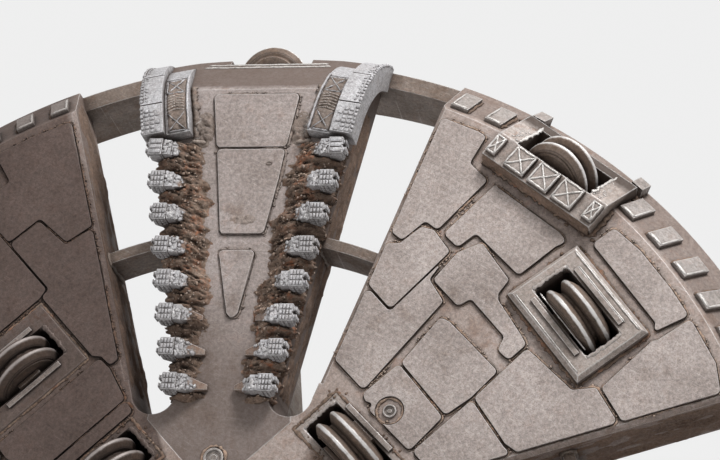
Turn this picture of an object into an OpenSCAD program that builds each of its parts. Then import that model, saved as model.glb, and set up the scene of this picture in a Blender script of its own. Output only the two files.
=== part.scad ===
// Cutterhead of a tunnel boring machine: four scraper spokes and four cutter panels on one rim.
// The head turns about the Y axis and its face looks towards -Y, with one spoke straight up.
// The origin is the centre of the drive flange's rear face. Depth is measured back from the face.

/* [Head] */
// Radius of the steel rim
rim_r = 3300; // [3250:5:3350]
// Width of the bevel, from the end of the flat face out to the rim
bevel_w = 266; // [250:2:290]
// Depth of the bevel's outer edge behind the face
bevel_depth = 235; // [210:5:250]
// Distance from the face back to the drive flange's rear face
head_depth = 1300; // [1200:10:1500]
// Depth of the spokes and panels
body_depth = 450; // [420:5:480]
// Radius of the centre plate
centre_r = 620; // [600:5:640]

/* [Rim ring] */
// Radial thickness of the rim ring
ring_t = 100; // [80:5:120]
// Depth of the rim ring's front edge
ring_front = 300; // [280:5:320]
// Depth of the rim ring's rear edge
ring_back = 700; // [600:10:800]

/* [Spokes and panels] */
// Height on the spoke or panel at which its inner half width is taken
station_in = 1000; // [950:10:1050]
// Height on the spoke or panel at which its outer half width is taken
station_out = 3000; // [2900:10:3100]
// Half width of a spoke at the inner station
spoke_half_in = 252; // [240:2:260]
// Half width of a spoke at the outer station
spoke_half_out = 617; // [600:2:630]
// Half width of a panel at the inner station
panel_half_in = 321; // [310:2:330]
// Half width of a panel at the outer station
panel_half_out = 1327; // [1300:2:1340]
// Half width of a panel's root, inside the muck openings
panel_root_half = 350; // [345:1:355]
// Height on the panel at which its root ends
panel_root_z = 926; // [920:1:930]
// Distance from the rim in to where a spoke's face ends and its bevel begins
spoke_bevel_in = 340; // [320:2:360]
// Distance from the rim in to where a spoke's bevel reaches the bevel's depth
spoke_bevel_end = 30; // [10:2:50]
// Chamfer along the edges of the face
edge_chamfer = 24; // [10:1:32]
// Height of the rounded foot of the muck openings
foot_z = 1060; // [1040:5:1080]
// Depth of the pockets between the ribs at the back of a panel
pocket_depth = 260; // [200:10:280]
// Height on the panel at which the pockets begin
pocket_z0 = 1400; // [1380:5:1440]
// Distance from the rim in to where the pockets end
pocket_end = 540; // [520:5:600]
// Thickness of the ribs and walls round those pockets
rib_t = 70; // [50:5:90]
// Clearance left at a welded seam
weld_gap = 0.02; // [0.01:0.01:0.05]

/* [Crossbars] */
// Middle radius of the arc bars that cross the muck openings
bar_r = 2072; // [2000:5:2150]
// Radial width of an arc bar
bar_w = 66; // [50:2:90]
// Depth of an arc bar's front
bar_front = 100; // [60:5:150]
// Depth of an arc bar's back
bar_back = 360; // [300:5:420]

/* [Places of the cutters] */
// Radius of the inner cutters on the first and third panel
inner_odd_r = 1075; // [1065:1:1085]
// Radius of the inner cutters on the second and fourth panel
inner_even_r = 845; // [840:1:870]
// Distance from the rim in to the middle cutters on the first and third panel
middle_odd_in = 820; // [810:1:830]
// Radius of the middle cutters on the second and fourth panel
middle_even_r = 1685; // [1680:1:1700]
// Depth of a face cutter's centre
cutter_depth = 40; // [35:1:45]

/* [Disc cutters] */
// Radius of a disc cutter's ring
disc_r = 216; // [200:1:222]
// Half width of a ring's worn tip
tip_half = 10; // [6:1:14]
// Half width of a ring at its seat on the hub
seat_half = 36; // [30:1:38]
// Spacing of the two rings of a twin cutter
ring_pitch = 100; // [90:1:104]
// Radius of the ring's seat
seat_r = 178; // [165:1:185]
// Radius of the hub's barrel
hub_r = 150; // [130:1:158]
// Radius of the axle
axle_r = 65; // [50:1:75]
// Radial running clearance of the hub on its axle
axle_gap = 0.05; // [0.02:0.01:0.1]
// Running gap between the hub's end and the axle's end block
end_gap = 6; // [5.5:0.5:9]
// Thickness of an axle's end block
block_t = 22; // [16:1:28]
// Half width of an axle's end block
block_half = 75; // [70:1:85]

/* [Cutter housings] */
// Length of a housing's slot round the head
slot_len = 500; // [480:5:520]
// Length of a housing round the head
housing_len = 650; // [630:5:680]
// Width of a housing along the axle
housing_w = 470; // [450:5:480]
// Height of a housing's frame in front of the face
frame_h = 60; // [40:2:80]
// Height of the frame of a middle cutter's housing on the second and fourth panel
low_frame_h = 10; // [6:1:20]
// Length of an inner cutter's housing round the head
small_len = 580; // [560:5:600]
// Width of an inner cutter's housing along the axle
small_w = 312; // [300:2:340]
// Depth of a housing's back
housing_back = 400; // [340:5:420]

/* [Gauge housings] */
// Half length of a gauge housing round the rim
gauge_half_len = 385; // [370:5:400]
// Distance from the rim in to a gauge housing's inner wall
gauge_reach = 490; // [460:5:520]
// Height of a gauge housing in front of the face
gauge_h = 100; // [80:5:120]
// Width of a gauge housing's flat front
gauge_bar_w = 165; // [150:5:180]
// Distance from the rim in to a gauge cutter's centre
gauge_cutter_in = 290; // [285:1:295]
// Depth of a gauge cutter's centre
gauge_cutter_depth = 50; // [45:1:55]
// Tilt of a gauge cutter's axle back from the radius
gauge_cutter_tilt = 34; // [32:1:36]
// Chamfer round the frame of a cutter housing
housing_chamfer = 22; // [10:1:30]
// Width of the hardfaced strips beside the cutters' slots
strip_w = 30; // [20:1:36]
// Thickness of those strips
strip_t = 14; // [8:1:20]
// Distance of a strip's middle from the middle of its cutter
strip_off = 145; // [140:1:160]
// Side of a square wear block
xblock = 140; // [120:2:150]
// Spacing of the wear blocks
xblock_pitch = 170; // [160:2:180]
// Thickness of a wear block
xblock_t = 24; // [12:2:40]
// Distance of the narrow end blocks from the middle of a gauge housing
end_block_off = 345; // [340:1:348]
// Width of a narrow end block
end_block_w = 66; // [50:2:74]

/* [Rim pads] */
// Distance from the end of the face out to where a pad on the bevel begins
pad_start = 28; // [16:1:46]
// Distance from the end of the face out to where a pad on the bevel ends
pad_end = 181; // [156:1:186]
// Width of a pad
pad_w = 108; // [90:2:120]
// Thickness of a pad
pad_t = 24; // [12:1:30]
// Distance from the end of the face out to where a rim lug begins
lug_start = 188; // [187:1:200]
// Distance from the rim in to where a rim lug ends
lug_end = 8; // [4:1:20]
// Distance of a rim lug from the middle of its gauge housing
lug_off = 360; // [340:2:380]
// Width of a rim lug
lug_w = 80; // [60:2:90]
// Height of a rim lug above the bevel
lug_t = 58; // [40:2:64]

/* [Rim cutters] */
// Distance from the rim in to a rim cutter's centre
rim_cutter_in = 120; // [110:2:130]
// Depth of a rim cutter's centre
rim_cutter_depth = 330; // [320:2:340]
// Tilt of a rim cutter's axle back from the radius
rim_cutter_tilt = 70; // [66:1:74]
// Half width of a rim cutter's slot along the axle
rim_slot_half = 80; // [78:1:84]

/* [Scrapers] */
// Scrapers along each side of a spoke
scraper_count = 8; // [6:1:8]
// Height of the first scraper
scraper_z0 = 1086; // [1070:2:1100]
// Distance of the last scraper's middle from the gauge bucket
scraper_clear = 77; // [64:1:90]
// Overhang of a scraper's tip past the spoke's side
scraper_out = 50; // [40:1:60]
// Height of a scraper in front of the face
scraper_h = 126; // [110:1:140]
// Width of a scraper
scraper_w = 100; // [90:1:110]
// Length of a scraper
scraper_len = 240; // [200:2:260]
// Length of the hardfaced head of a scraper
scraper_head = 86; // [70:1:95]
// Length of the collar behind that head
scraper_collar = 50; // [40:1:60]

/* [Gauge buckets] */
// Distance from the rim in to where a gauge bucket begins
bucket_len = 695; // [675:1:700]
// Length of a gauge bucket's straight front, along the spoke's side
bucket_straight = 115; // [90:1:130]
// Radius of the lip's curve over the end of the spoke
bucket_r = 560; // [550:1:570]
// Height of the lip in front of the face
bucket_h = 140; // [130:1:150]
// Thickness of the lip
bucket_t = 150; // [145:1:160]
// Step down from the lip to the inner strip
bucket_step = 45; // [30:1:60]
// Distance of that step inwards from the spoke's side
bucket_step_in = 56; // [40:1:70]
// Reach of a gauge bucket inwards from the spoke's side
bucket_in = 200; // [180:2:220]
// Reach of a gauge bucket's lip past the spoke's side
bucket_out = 79; // [60:1:84]
// Gap between the parts of a bucket, and half of that between its plates
bucket_gap = 4; // [2:0.5:6]

/* [Wear plates] */
// Thickness of the wear plates on the face
plate_t = 16; // [8:1:24]
// Radius of a wear plate's corners
plate_corner = 26; // [10:1:32]
// Distance of the wear plates from a panel's edges
plate_inset = 38; // [34:1:44]
// Distance of the wear plates from the end of the face
plate_end = 62; // [50:1:70]
// Least gap between a wear plate and a housing
plate_gap = 12; // [6:1:14]
// Radius of the recess round a foam port
port_recess = 82; // [70:1:90]

/* [Drive side] */
// Outer radius of the drive flange
flange_r = 1350; // [1300:10:1400]
// Inner radius of the drive flange
flange_in_r = 950; // [900:10:1000]
// Thickness of the drive flange
flange_t = 120; // [100:5:140]
// Bolt circle diameter of the drive flange
flange_pcd = 2300; // [2200:10:2400]
// Bolts in the drive flange
flange_bolts = 36; // [24:4:48]
// Radius of a bolt hole in the drive flange
flange_hole_r = 22; // [14:1:28]
// Width of a support arm
arm_w = 360; // [300:10:420]
// Distance from the rim in to the foot of a support arm
arm_foot = 1000; // [950:10:1100]
// Radius of the central supply pipe
pipe_r = 230; // [200:5:260]
// Radius of a mixing bar
mixer_r = 70; // [50:5:90]
// Distance from the rim in to a mixing bar
mixer_in = 650; // [600:10:700]
// Length of a mixing bar
mixer_len = 420; // [300:10:500]

/* [Hidden] */
face_r = rim_r - bevel_w;
ring_in_r = rim_r - ring_t;
gauge_in_r = rim_r - gauge_reach;
gauge_front_r = gauge_in_r + gauge_bar_w;
bucket_z0 = rim_r - bucket_len;
scraper_pitch = (bucket_z0 - scraper_clear - scraper_z0) / (scraper_count - 1);
spoke_slope = (spoke_half_out - spoke_half_in) / (station_out - station_in);
panel_slope = (panel_half_out - panel_half_in) / (station_out - station_in);
side_angle = atan(spoke_slope);
edge_angle = 45 - atan(panel_slope);
split_mid = (side_angle + edge_angle) / 2;
split_half = (edge_angle - side_angle) / 2;
// One point of the panel's edge line, seen from the spoke
edge_x = (station_in - panel_half_in) * sin(45);
edge_z = (station_in + panel_half_in) * sin(45);
// Where the spoke's side line and the panel's edge line would meet
apex_z = (edge_x - spoke_half_in - tan(edge_angle) * edge_z + spoke_slope * station_in)
    / (spoke_slope - tan(edge_angle));
apex_x = spoke_half_in + spoke_slope * (apex_z - station_in);
foot_reach = (foot_z - apex_z) / cos(split_mid);
foot_x = apex_x + foot_reach * sin(split_mid);
foot_r = foot_reach * sin(split_half) + 2;
foot_centre = [foot_x, foot_z];
foot_side = foot_reach * cos(split_half);
spoke_foot = [apex_x + foot_side * sin(side_angle), apex_z + foot_side * cos(side_angle)];
panel_foot = [apex_x + foot_side * sin(edge_angle), apex_z + foot_side * cos(edge_angle)];
plan_reach = rim_r + 300;

// Place of the foam port on a panel
PORT = [-14, 1362];
POCKET_ROWS = 3;
POCKET_COLUMNS = 4;
SPOKE_ANGLES = [90, 180, 270, 0];
PANEL_ANGLES = [45, 135, 225, 315];

twin_half = ring_pitch / 2 + seat_half;
single_half = rim_slot_half - block_t - end_gap;
bevel_slope = bevel_depth / (rim_r - face_r);
bevel_angle = atan(bevel_slope);
slot_half = twin_half + end_gap + block_t;

// Columns: name, angle round the head, radius, depth of the centre, tilt of the axle,
// length, width and frame height of the housing
FACE_CUTTERS = [
    ["inner_cutter_1", 46, inner_odd_r, cutter_depth, 0, small_len, small_w, 0],
    ["middle_cutter_1", 38.4, rim_r - middle_odd_in, cutter_depth, 0, housing_len, housing_w, frame_h],
    ["inner_cutter_2", 135, inner_even_r, cutter_depth, 0, small_len, small_w, 0],
    ["middle_cutter_2", 135, middle_even_r, cutter_depth, 0, housing_len, housing_w, low_frame_h],
    ["inner_cutter_3", 226, inner_odd_r, cutter_depth, 0, small_len, small_w, 0],
    ["middle_cutter_3", 218.4, rim_r - middle_odd_in, cutter_depth, 0, housing_len, housing_w, frame_h],
    ["inner_cutter_4", 315, inner_even_r, cutter_depth, 0, small_len, small_w, 0],
    ["middle_cutter_4", 315, middle_even_r, cutter_depth, 0, housing_len, housing_w, low_frame_h],
];
GAUGE_ANGLES = [53.2, 131, 233.2, 311];
GAUGE_CUTTERS = [for (i = [0:3]) [str("gauge_cutter_", i + 1), GAUGE_ANGLES[i],
    rim_r - gauge_cutter_in, gauge_cutter_depth, gauge_cutter_tilt]];
RIM_CUTTERS = [for (i = [0:3]) [str("rim_cutter_", i + 1), SPOKE_ANGLES[i],
    rim_r - rim_cutter_in, rim_cutter_depth, rim_cutter_tilt]];
centre_pitch = 2 * slot_half + 10;
CENTRE_CUTTERS = [
    ["centre_cutter_1", 0, 1.5 * centre_pitch, cutter_depth, 0],
    ["centre_cutter_2", 0, 0.5 * centre_pitch, cutter_depth, 0],
    ["centre_cutter_3", 180, 0.5 * centre_pitch, cutter_depth, 0],
    ["centre_cutter_4", 180, 1.5 * centre_pitch, cutter_depth, 0],
];

steel = [0.56, 0.50, 0.46];
dark = [0.36, 0.30, 0.26];
bright = [0.74, 0.73, 0.72];

// Turns something made at the top of the head to an angle round it
module at(angle) {
    rotate([0, 90 - angle, 0]) children();
}

// Extrudes an outline drawn in X and Z between two depths
module slab(front, back) {
    translate([0, back - head_depth, 0]) rotate([90, 0, 0]) linear_extrude(back - front) children();
}

// Turns an outline of radius and depth about the head's axis
module turned(points) {
    translate([0, -head_depth, 0]) rotate([-90, 0, 0]) rotate_extrude($fn = 180) polygon(points);
}

// Extrudes an outline of radius and depth sideways, at the top of the head
module cross_prism(half, points) {
    translate([-half, -head_depth, 0]) rotate([90, 0, 90]) linear_extrude(2 * half)
        polygon([for (p = points) [p[1], p[0]]]);
}

// The frame of one cutter: Z along its axle, -Y out of the face
module cutter_frame(c) {
    at(c[1]) translate([0, c[3] - head_depth, c[2]]) rotate([-c[4], 0, 0]) children();
}

// A box given by its lowest and highest corners
module block(low, high) {
    translate(low) cube(high - low);
}

// Half width of a spoke and of a panel at a height
function spoke_half(z) = spoke_half_in + spoke_slope * (z - station_in);
function panel_half(z) = panel_half_in + panel_slope * (z - station_in);

// A point seen from a spoke, as the panel beside it sees it
function from_panel(p) = [(p[1] - p[0]) * sin(45), (p[0] + p[1]) * sin(45)];

// Closed outline from the points of its right half, the first of which may lie on the middle line
function both_sides(half) = concat(half,
    [for (i = [len(half) - 1:-1:0]) if (half[i][0] > 0.001) [-half[i][0], half[i][1]]]);

// Points round one corner, the second of three points, with a radius that its sides have room for
function corner(p, q, s, r) =
    let (a = (p - q) / norm(p - q), b = (s - q) / norm(s - q), half = acos(a * b) / 2,
        run = min(r / tan(half), 0.45 * min(norm(p - q), norm(s - q))), fit = run * tan(half),
        mid = q + (a + b) / norm(a + b) * fit / sin(half), u = q + a * run - mid,
        v = q + b * run - mid, turn = 180 - 2 * half)
    [for (k = [0:4]) mid + (u * sin((1 - k / 4) * turn) + v * sin(k / 4 * turn)) / sin(turn)];

// A closed outline with its corners rounded
function rounded(points, r) =
    let (n = len(points))
    [for (i = [0:n - 1]) each corner(points[(i + n - 1) % n], points[i], points[(i + 1) % n], r)];

// A point by its radius on the bevel and its height above it, as radius and depth
function on_bevel(r, h) = [r + h * sin(bevel_angle), (r - face_r) * bevel_slope - h * cos(bevel_angle)];

module foot_circles(centre) {
    for (s = [-1, 1]) translate([s * centre[0], centre[1]]) circle(foot_r, $fn = 64);
}

// Plan of a spoke that points up, from the centre plate out past the rim
module spoke_plan() {
    difference() {
        polygon(both_sides([from_panel([panel_root_half + weld_gap, panel_root_half]),
            from_panel([panel_root_half + weld_gap, panel_root_z]), foot_centre - [weld_gap, 0],
            spoke_foot, [spoke_half(plan_reach), plan_reach]]));
        foot_circles(foot_centre);
        circle(centre_r, $fn = 180);
    }
}

// Plan of a panel that points up
module panel_plan() {
    difference() {
        polygon(both_sides([[panel_root_half, 0], [panel_root_half, panel_root_z],
            from_panel(foot_centre), from_panel(panel_foot), [panel_half(plan_reach), plan_reach]]));
        foot_circles(from_panel(foot_centre));
        circle(centre_r, $fn = 180);
    }
}

// Everything behind the face and the bevel, inside the rim
module head_envelope() {
    turned([[0, 0], [face_r, 0], [rim_r, bevel_depth], [rim_r, ring_front], [ring_in_r, ring_front],
        [ring_in_r, body_depth], [0, body_depth]]);
}

module rim_slot(c) {
    cutter_frame(c) block([-250, -rim_r, -rim_slot_half], [250, 250, rim_slot_half]);
}

// A spoke that points up, before its rim cutter's slot
module spoke_block() {
    difference() {
        intersection() {
            slab(0, body_depth) spoke_plan();
            head_envelope();
            cross_prism(rim_r, [[0, 0], [rim_r - spoke_bevel_in, 0],
                [rim_r, bevel_depth * spoke_bevel_in / (spoke_bevel_in - spoke_bevel_end)],
                [rim_r, body_depth], [0, body_depth]]);
        }
        for (s = [0, 1]) mirror([s, 0, 0])
            edge_cut([spoke_half(foot_z + foot_r), foot_z + foot_r], 90 - side_angle);
    }
}

// Cuts the chamfer of a face's right edge, from a point on it, along an angle from X
module edge_cut(point, angle) {
    translate([point[0], -head_depth, point[1]]) rotate([0, -angle, 0])
        rotate([45, 0, 0]) block([0, -edge_chamfer * sin(45), -2 * edge_chamfer],
            [rim_r, edge_chamfer * sin(45), 2 * edge_chamfer]);
}

module spoke(i) {
    color(steel) difference() {
        at(SPOKE_ANGLES[i]) spoke_block();
        rim_slot(RIM_CUTTERS[i]);
    }
}

// Block that a gauge housing fills, as radius and depth
GAUGE_SECTION = [[gauge_in_r, -gauge_h], [gauge_front_r, -gauge_h], [rim_r - 85, 70],
    [rim_r - 130, 290], [rim_r - 240, 380], [gauge_in_r, 380]];

// What a cutter housing takes out of its panel
module housing_cut(c) {
    cutter_frame(c) block([-c[5] / 2, -body_depth, -c[6] / 2], [c[5] / 2, 2 * body_depth, c[6] / 2]);
}

// Pockets between the ribs at a panel's back
module panel_pockets() {
    rise = (rim_r - pocket_end - pocket_z0 + rib_t) / POCKET_ROWS;
    for (row = [0:POCKET_ROWS - 1]) for (col = [0:POCKET_COLUMNS - 1])
        let (z0 = pocket_z0 + row * rise, z1 = z0 + rise - rib_t,
            share = [2 * col / POCKET_COLUMNS - 1, 2 * (col + 1) / POCKET_COLUMNS - 1])
        slab(body_depth - pocket_depth, body_depth + 1) polygon([
            for (p = [[0, z0], [0, z1], [1, z1], [1, z0]])
                [share[p[0]] * (panel_half(p[1]) - rib_t / 2) + (0.5 - p[0]) * rib_t, p[1]]]);
}

module panel(i) {
    color(steel) difference() {
        intersection() {
            at(PANEL_ANGLES[i]) slab(0, body_depth) panel_plan();
            head_envelope();
        }
        at(PANEL_ANGLES[i]) {
            panel_pockets();
            for (s = [0, 1]) mirror([s, 0, 0])
                edge_cut([panel_half(foot_z + foot_r), foot_z + foot_r], 90 - atan(panel_slope));
        }
        for (k = [0, 1]) housing_cut(FACE_CUTTERS[2 * i + k]);
        at(GAUGE_CUTTERS[i][1]) cross_prism(gauge_half_len, GAUGE_SECTION);
    }
}

module centre_plate() {
    color(steel) difference() {
        slab(0, body_depth + 60) circle(centre_r, $fn = 180);
        for (c = CENTRE_CUTTERS) cutter_frame(c)
            block([-slot_len / 2, -400, -slot_half], [slot_len / 2, 260, slot_half]);
    }
}

module rim_ring() {
    color(steel) difference() {
        turned([[ring_in_r, ring_front], [rim_r, ring_front], [rim_r, ring_back], [ring_in_r, ring_back]]);
        for (c = RIM_CUTTERS) rim_slot(c);
    }
}

module crossbars() {
    color(steel) difference() {
        turned([[bar_r - bar_w / 2, bar_front], [bar_r + bar_w / 2, bar_front],
            [bar_r + bar_w / 2, bar_back], [bar_r - bar_w / 2, bar_back]]);
        for (a = SPOKE_ANGLES) at(a) slab(0, body_depth) spoke_plan();
        for (a = PANEL_ANGLES) at(a) slab(0, body_depth) panel_plan();
    }
}

// A scraper with its tip at X = 0, lying back along -X on the face: head, collar and tail
module scraper() {
    half = scraper_w / 2;
    back = scraper_head + scraper_collar;
    side = [[-9, 0], [0, 12], [0, half - 9], [-8, half], [-scraper_head, half],
        [-scraper_head, half - 5], [-back, half - 5], [-back - 8, half - 12], [-scraper_len, 14]];
    intersection() {
        slab(-scraper_h, 0) polygon(concat(side,
            [for (i = [len(side) - 1:-1:1]) [side[i][0], -side[i][1]]]));
        translate([0, -head_depth, -half]) linear_extrude(scraper_w)
            polygon([[-6, -scraper_h], [0, -0.9 * scraper_h], [0, -0.35 * scraper_h],
                [-scraper_out, 0], [-scraper_len, 0], [-scraper_len, -0.24 * scraper_h],
                [-back, -0.78 * scraper_h], [-back, -0.9 * scraper_h],
                [-scraper_head, -0.93 * scraper_h], [-scraper_head, -scraper_h]]);
    }
}

module scrapers(i) {
    color(bright) at(SPOKE_ANGLES[i]) for (s = [0, 1]) mirror([s, 0, 0])
        for (k = [0:scraper_count - 1])
            let (z = scraper_z0 + k * scraper_pitch)
            translate([spoke_half(z) + scraper_out, 0, z]) scraper();
}

// Side view of a bucket's curve: a straight front, then an arc of the given radius back to the rim
module bent(r, start) {
    difference() {
        translate([bucket_r - bucket_h - r, start])
            square([ring_front - 1 - bucket_r + bucket_h + r, bucket_straight + r - start]);
        difference() {
            translate([bucket_r - bucket_h - r - 1, bucket_straight]) square(r + 1);
            translate([bucket_r - bucket_h, bucket_straight]) circle(r, $fn = 128);
        }
    }
}

// A strip of a gauge bucket between two distances from the spoke's side, with seams at angles
module bucket_strip(low, high, r, seams) {
    translate([low, 0, 0]) rotate([90, 0, 90]) linear_extrude(high - low) difference() {
        bent(r, 0);
        bent(bucket_r - bucket_t, -1);
        for (t = seams) translate([bucket_r - bucket_h, bucket_straight]) rotate(-t)
            translate([-r - 1, -bucket_gap]) square([2 * bucket_gap + 1, 2 * bucket_gap]);
    }
}

// One gauge bucket on the spoke's right side, seated on its face and bevel
module bucket() {
    difference() {
        translate([spoke_half(bucket_z0), -head_depth, bucket_z0]) rotate([0, side_angle, 0]) {
            bucket_strip(bucket_gap - bucket_step_in, bucket_out, bucket_r, [8.7, 35]);
            bucket_strip(-bucket_in, -bucket_step_in, bucket_r - bucket_step, [35]);
        }
        spoke_block();
        cutter_frame(RIM_CUTTERS[0]) block([-250, -rim_r, -rim_slot_half], [250, 250, rim_slot_half]);
    }
}

module gauge_buckets() {
    color(bright) for (a = SPOKE_ANGLES) at(a) for (s = [0, 1]) mirror([s, 0, 0]) bucket();
}

// Outlines of the wear plates on a spoke, as x and the distance from the rim in
SPOKE_PLATES = [
    [[-255, 380], [263, 380], [215, 725], [-200, 725]],
    [[-196, 740], [212, 740], [191, 933], [138, 1276], [-117, 1276]],
    [[-113, 1380], [101, 1380], [41, 1768], [10, 1800], [-22, 1768]],
];

module spoke_plates() {
    color(steel) for (a = SPOKE_ANGLES) at(a) slab(-plate_t, 0) for (p = SPOKE_PLATES)
        polygon(rounded([for (q = p) [q[0], rim_r - q[1]]], plate_corner));
}

// Outlines of the wear plates that interlock round the housings, seen from the panel.
// A point is x and z, or "edge" with its side and z, or "arc" with its x at the end of the face
PLATES_ODD = [
    [["edge", -1, 2060], ["edge", -1, 2735], ["arc", -935], [-884, 2832], [-824, 2654],
        [-670, 2654], [-641, 2252], [-730, 2240], [-736, 2068]],
    [[-618, 2668], [-598, 2262], [-481, 2262], [-470, 2392], [-114, 2392], [-98, 2650],
        [-78, 2712], [-140, 2724], [-585, 2666]],
    [["edge", -1, 1990], [-728, 2050], [-718, 2200], [-654, 2236], [-491, 2215], [-465, 1752],
        ["edge", -1, 1760]],
    [["edge", -1, 1742], [-452, 1737], [-476, 2168], [-446, 2022], [-290, 1990], [-205, 1336],
        ["edge", -1, 1336]],
    [[-183, 1574], [-190, 1322], [-150, 1302], [-108, 1322], [-96, 1284], [234, 1292], [215, 1546]],
    [[-180, 1590], [-229, 1918], [-172, 1936], [227, 1934], [238, 1730], [217, 1566]],
    [[-427, 2036], [-214, 2030], [-194, 2112], [101, 2094], [136, 2017], [219, 2020], [219, 2148],
        [154, 2166], [-82, 2212], [-112, 2239], [-130, 2335], [-404, 2376], [-456, 2240]],
    [[252, 1742], [240, 2136], [583, 2148], [664, 2250], ["edge", 1, 2200], ["edge", 1, 1706],
        [559, 1692]],
    [["edge", 1, 2222], [684, 2270], [676, 2642], [692, 2668], [728, 2878], ["arc", 1000],
        ["edge", 1, 2700]],
    [[34, 2806], [611, 2731], [645, 2690], [706, 2884], ["arc", 520], ["arc", 250], [49, 2954]],
    [[252, 1724], [558, 1674], ["edge", 1, 1672], ["edge", 1, 1302], [250, 1302]],
];
PLATES_EVEN = [
    [[412, 2366], [640, 2356], [664, 2120], ["edge", 1, 2096], ["edge", 1, 2735], ["arc", 920],
        ["arc", 690], [650, 2682], [412, 2698]],
    [[412, 2350], [626, 2341], [650, 2105], ["edge", 1, 2081], ["edge", 1, 1323], [391, 1323],
        [386, 1402], [350, 1442], [350, 1946], [412, 1952]],
    [[-20, 1946], [-20, 2724], [398, 2698], [398, 1966], [336, 1946]],
    [[-34, 1946], [-34, 2725], [-246, 2738], [-246, 2331], [-576, 2316], [-586, 2092],
        [-340, 2088], [-340, 1946]],
    [["arc", -262], ["arc", -600], ["arc", -900], ["edge", -1, 2735], ["edge", -1, 2096],
        [-600, 2106], [-590, 2330], [-260, 2345]],
    [["edge", -1, 2082], [-354, 2074], [-354, 1442], [-386, 1402], [-391, 1323], ["edge", -1, 1323]],
    [[-330, 1104], [330, 1104], [376, 1309], [370, 1400], [-370, 1400], [-376, 1309]],
    [[-318, 1014], [318, 1014], [326, 1090], [-326, 1090]],
];

// A point of those outlines as x and z
function plate_point(p) =
    p[0] == "edge" ? [p[1] * (panel_half(p[2]) - plate_inset), p[2]] :
    p[0] == "arc" ? [p[1], sqrt(pow(face_r - plate_end, 2) - p[1] * p[1])] : p;

module panel_plates() {
    color(steel) for (i = [0:3]) at(PANEL_ANGLES[i]) slab(-plate_t, 0) difference() {
        intersection() {
            for (p = i % 2 == 0 ? PLATES_ODD : PLATES_EVEN)
                polygon(rounded([for (q = p) plate_point(q)], plate_corner));
            circle(face_r - plate_end + 2, $fn = 180);
        }
        for (c = [FACE_CUTTERS[2 * i], FACE_CUTTERS[2 * i + 1]]) rotate(c[1] - PANEL_ANGLES[i])
            translate([0, c[2]]) square([c[5] + 2 * plate_gap, c[6] + 2 * plate_gap], center = true);
        rotate(GAUGE_ANGLES[i] - PANEL_ANGLES[i]) translate([-gauge_half_len - plate_gap,
            gauge_in_r - plate_gap]) square([2 * (gauge_half_len + plate_gap), rim_r]);
        if (i % 2 == 0) translate(PORT) circle(port_recess, $fn = 48);
    }
}

// Side view of a housing: its front, back and half width, with chamfers in front
function chamfered(front, back, half, cut) = [[front, half - cut], [front + cut, half], [back, half],
    [back, -half], [front + cut, -half], [front, cut - half]];

module cutter_housings() {
    color(steel) for (c = FACE_CUTTERS)
        let (front = -c[3] - c[7], back = housing_back - c[3], cut = min(c[7], housing_chamfer))
        cutter_frame(c) difference() {
            intersection() {
                translate([-c[5] / 2, 0, 0]) rotate([90, 0, 90]) linear_extrude(c[5])
                    polygon(chamfered(front, back, c[6] / 2, cut));
                translate([0, 0, -c[6] / 2]) linear_extrude(c[6])
                    polygon([for (p = chamfered(front, back, c[5] / 2, cut)) [p[1], p[0]]]);
            }
            block([-slot_len / 2, -400, -slot_half], [slot_len / 2, 400, slot_half]);
        }
}

module gauge_housings() {
    color(steel) for (c = GAUGE_CUTTERS) difference() {
        at(c[1]) cross_prism(gauge_half_len, GAUGE_SECTION);
        cutter_frame(c) block([-260, -500, -slot_half], [260, 250, slot_half]);
    }
}

// Hardfaced strips beside the slots: cutter, sides along its axle, half length
STRIPS = [
    [0, [1], 180],
    [1, [-1, 1], 205],
    [3, [-1, 1], 187],
    [4, [1], 180],
    [5, [-1, 1], 205],
    [7, [-1, 1], 187],
];

module wear_blocks() {
    color(bright) {
        for (c = GAUGE_CUTTERS) at(c[1]) {
            for (k = [-1:1]) translate([k * xblock_pitch, 0, (gauge_in_r + gauge_front_r) / 2])
                slab(-gauge_h - xblock_t, -gauge_h) square(xblock, center = true);
            for (s = [-1, 1]) translate([s * end_block_off, 0, (gauge_in_r + gauge_front_r) / 2])
                slab(-gauge_h - xblock_t, -gauge_h) square([end_block_w, xblock - 20], center = true);
        }
        for (t = STRIPS) let (c = FACE_CUTTERS[t[0]], front = -c[3] - c[7]) cutter_frame(c)
            for (s = t[1]) block([-t[2], front - strip_t, s * strip_off - strip_w / 2],
                [t[2], front, s * strip_off + strip_w / 2]);
    }
}

// Rows of pads on the bevel: side of the gauge housing, 1 towards the near spoke, the distance of
// the first pad's middle from the housing's end, and the spacing
PAD_ROWS = [[1, 141, 225], [-1, 81, 230]];
// Angle from the middle of a panel within which a pad fits
pad_limit = 22;
pad_mid_r = face_r + (pad_start + pad_end) / 2;

// A band on the bevel between two radii, with a height
module bevel_band(low, high, h) {
    turned([on_bevel(low, weld_gap), on_bevel(low, h), on_bevel(high, h), on_bevel(high, weld_gap)]);
}

module rim_pads() {
    color(bright) {
        intersection() {
            bevel_band(face_r + pad_start, face_r + pad_end, pad_t);
            for (i = [0:3]) for (row = PAD_ROWS) for (k = [0:5])
                let (turn = (gauge_half_len + row[1] + k * row[2]) / pad_mid_r * 180 / PI,
                    a = GAUGE_CUTTERS[i][1] + (i % 2 == 0 ? row[0] : -row[0]) * turn)
                if (abs(a - PANEL_ANGLES[i]) < pad_limit) at(a) slab(-2 * pad_t, bevel_depth)
                    translate([-pad_w / 2, face_r]) square([pad_w, bevel_w]);
        }
        intersection() {
            bevel_band(face_r + lug_start, rim_r - lug_end, lug_t);
            for (c = GAUGE_CUTTERS) at(c[1]) for (s = [-1, 1]) slab(-lug_t, bevel_depth + lug_t)
                translate([s * lug_off - lug_w / 2, face_r]) square([lug_w, 2 * bevel_w]);
        }
    }
}

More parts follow.
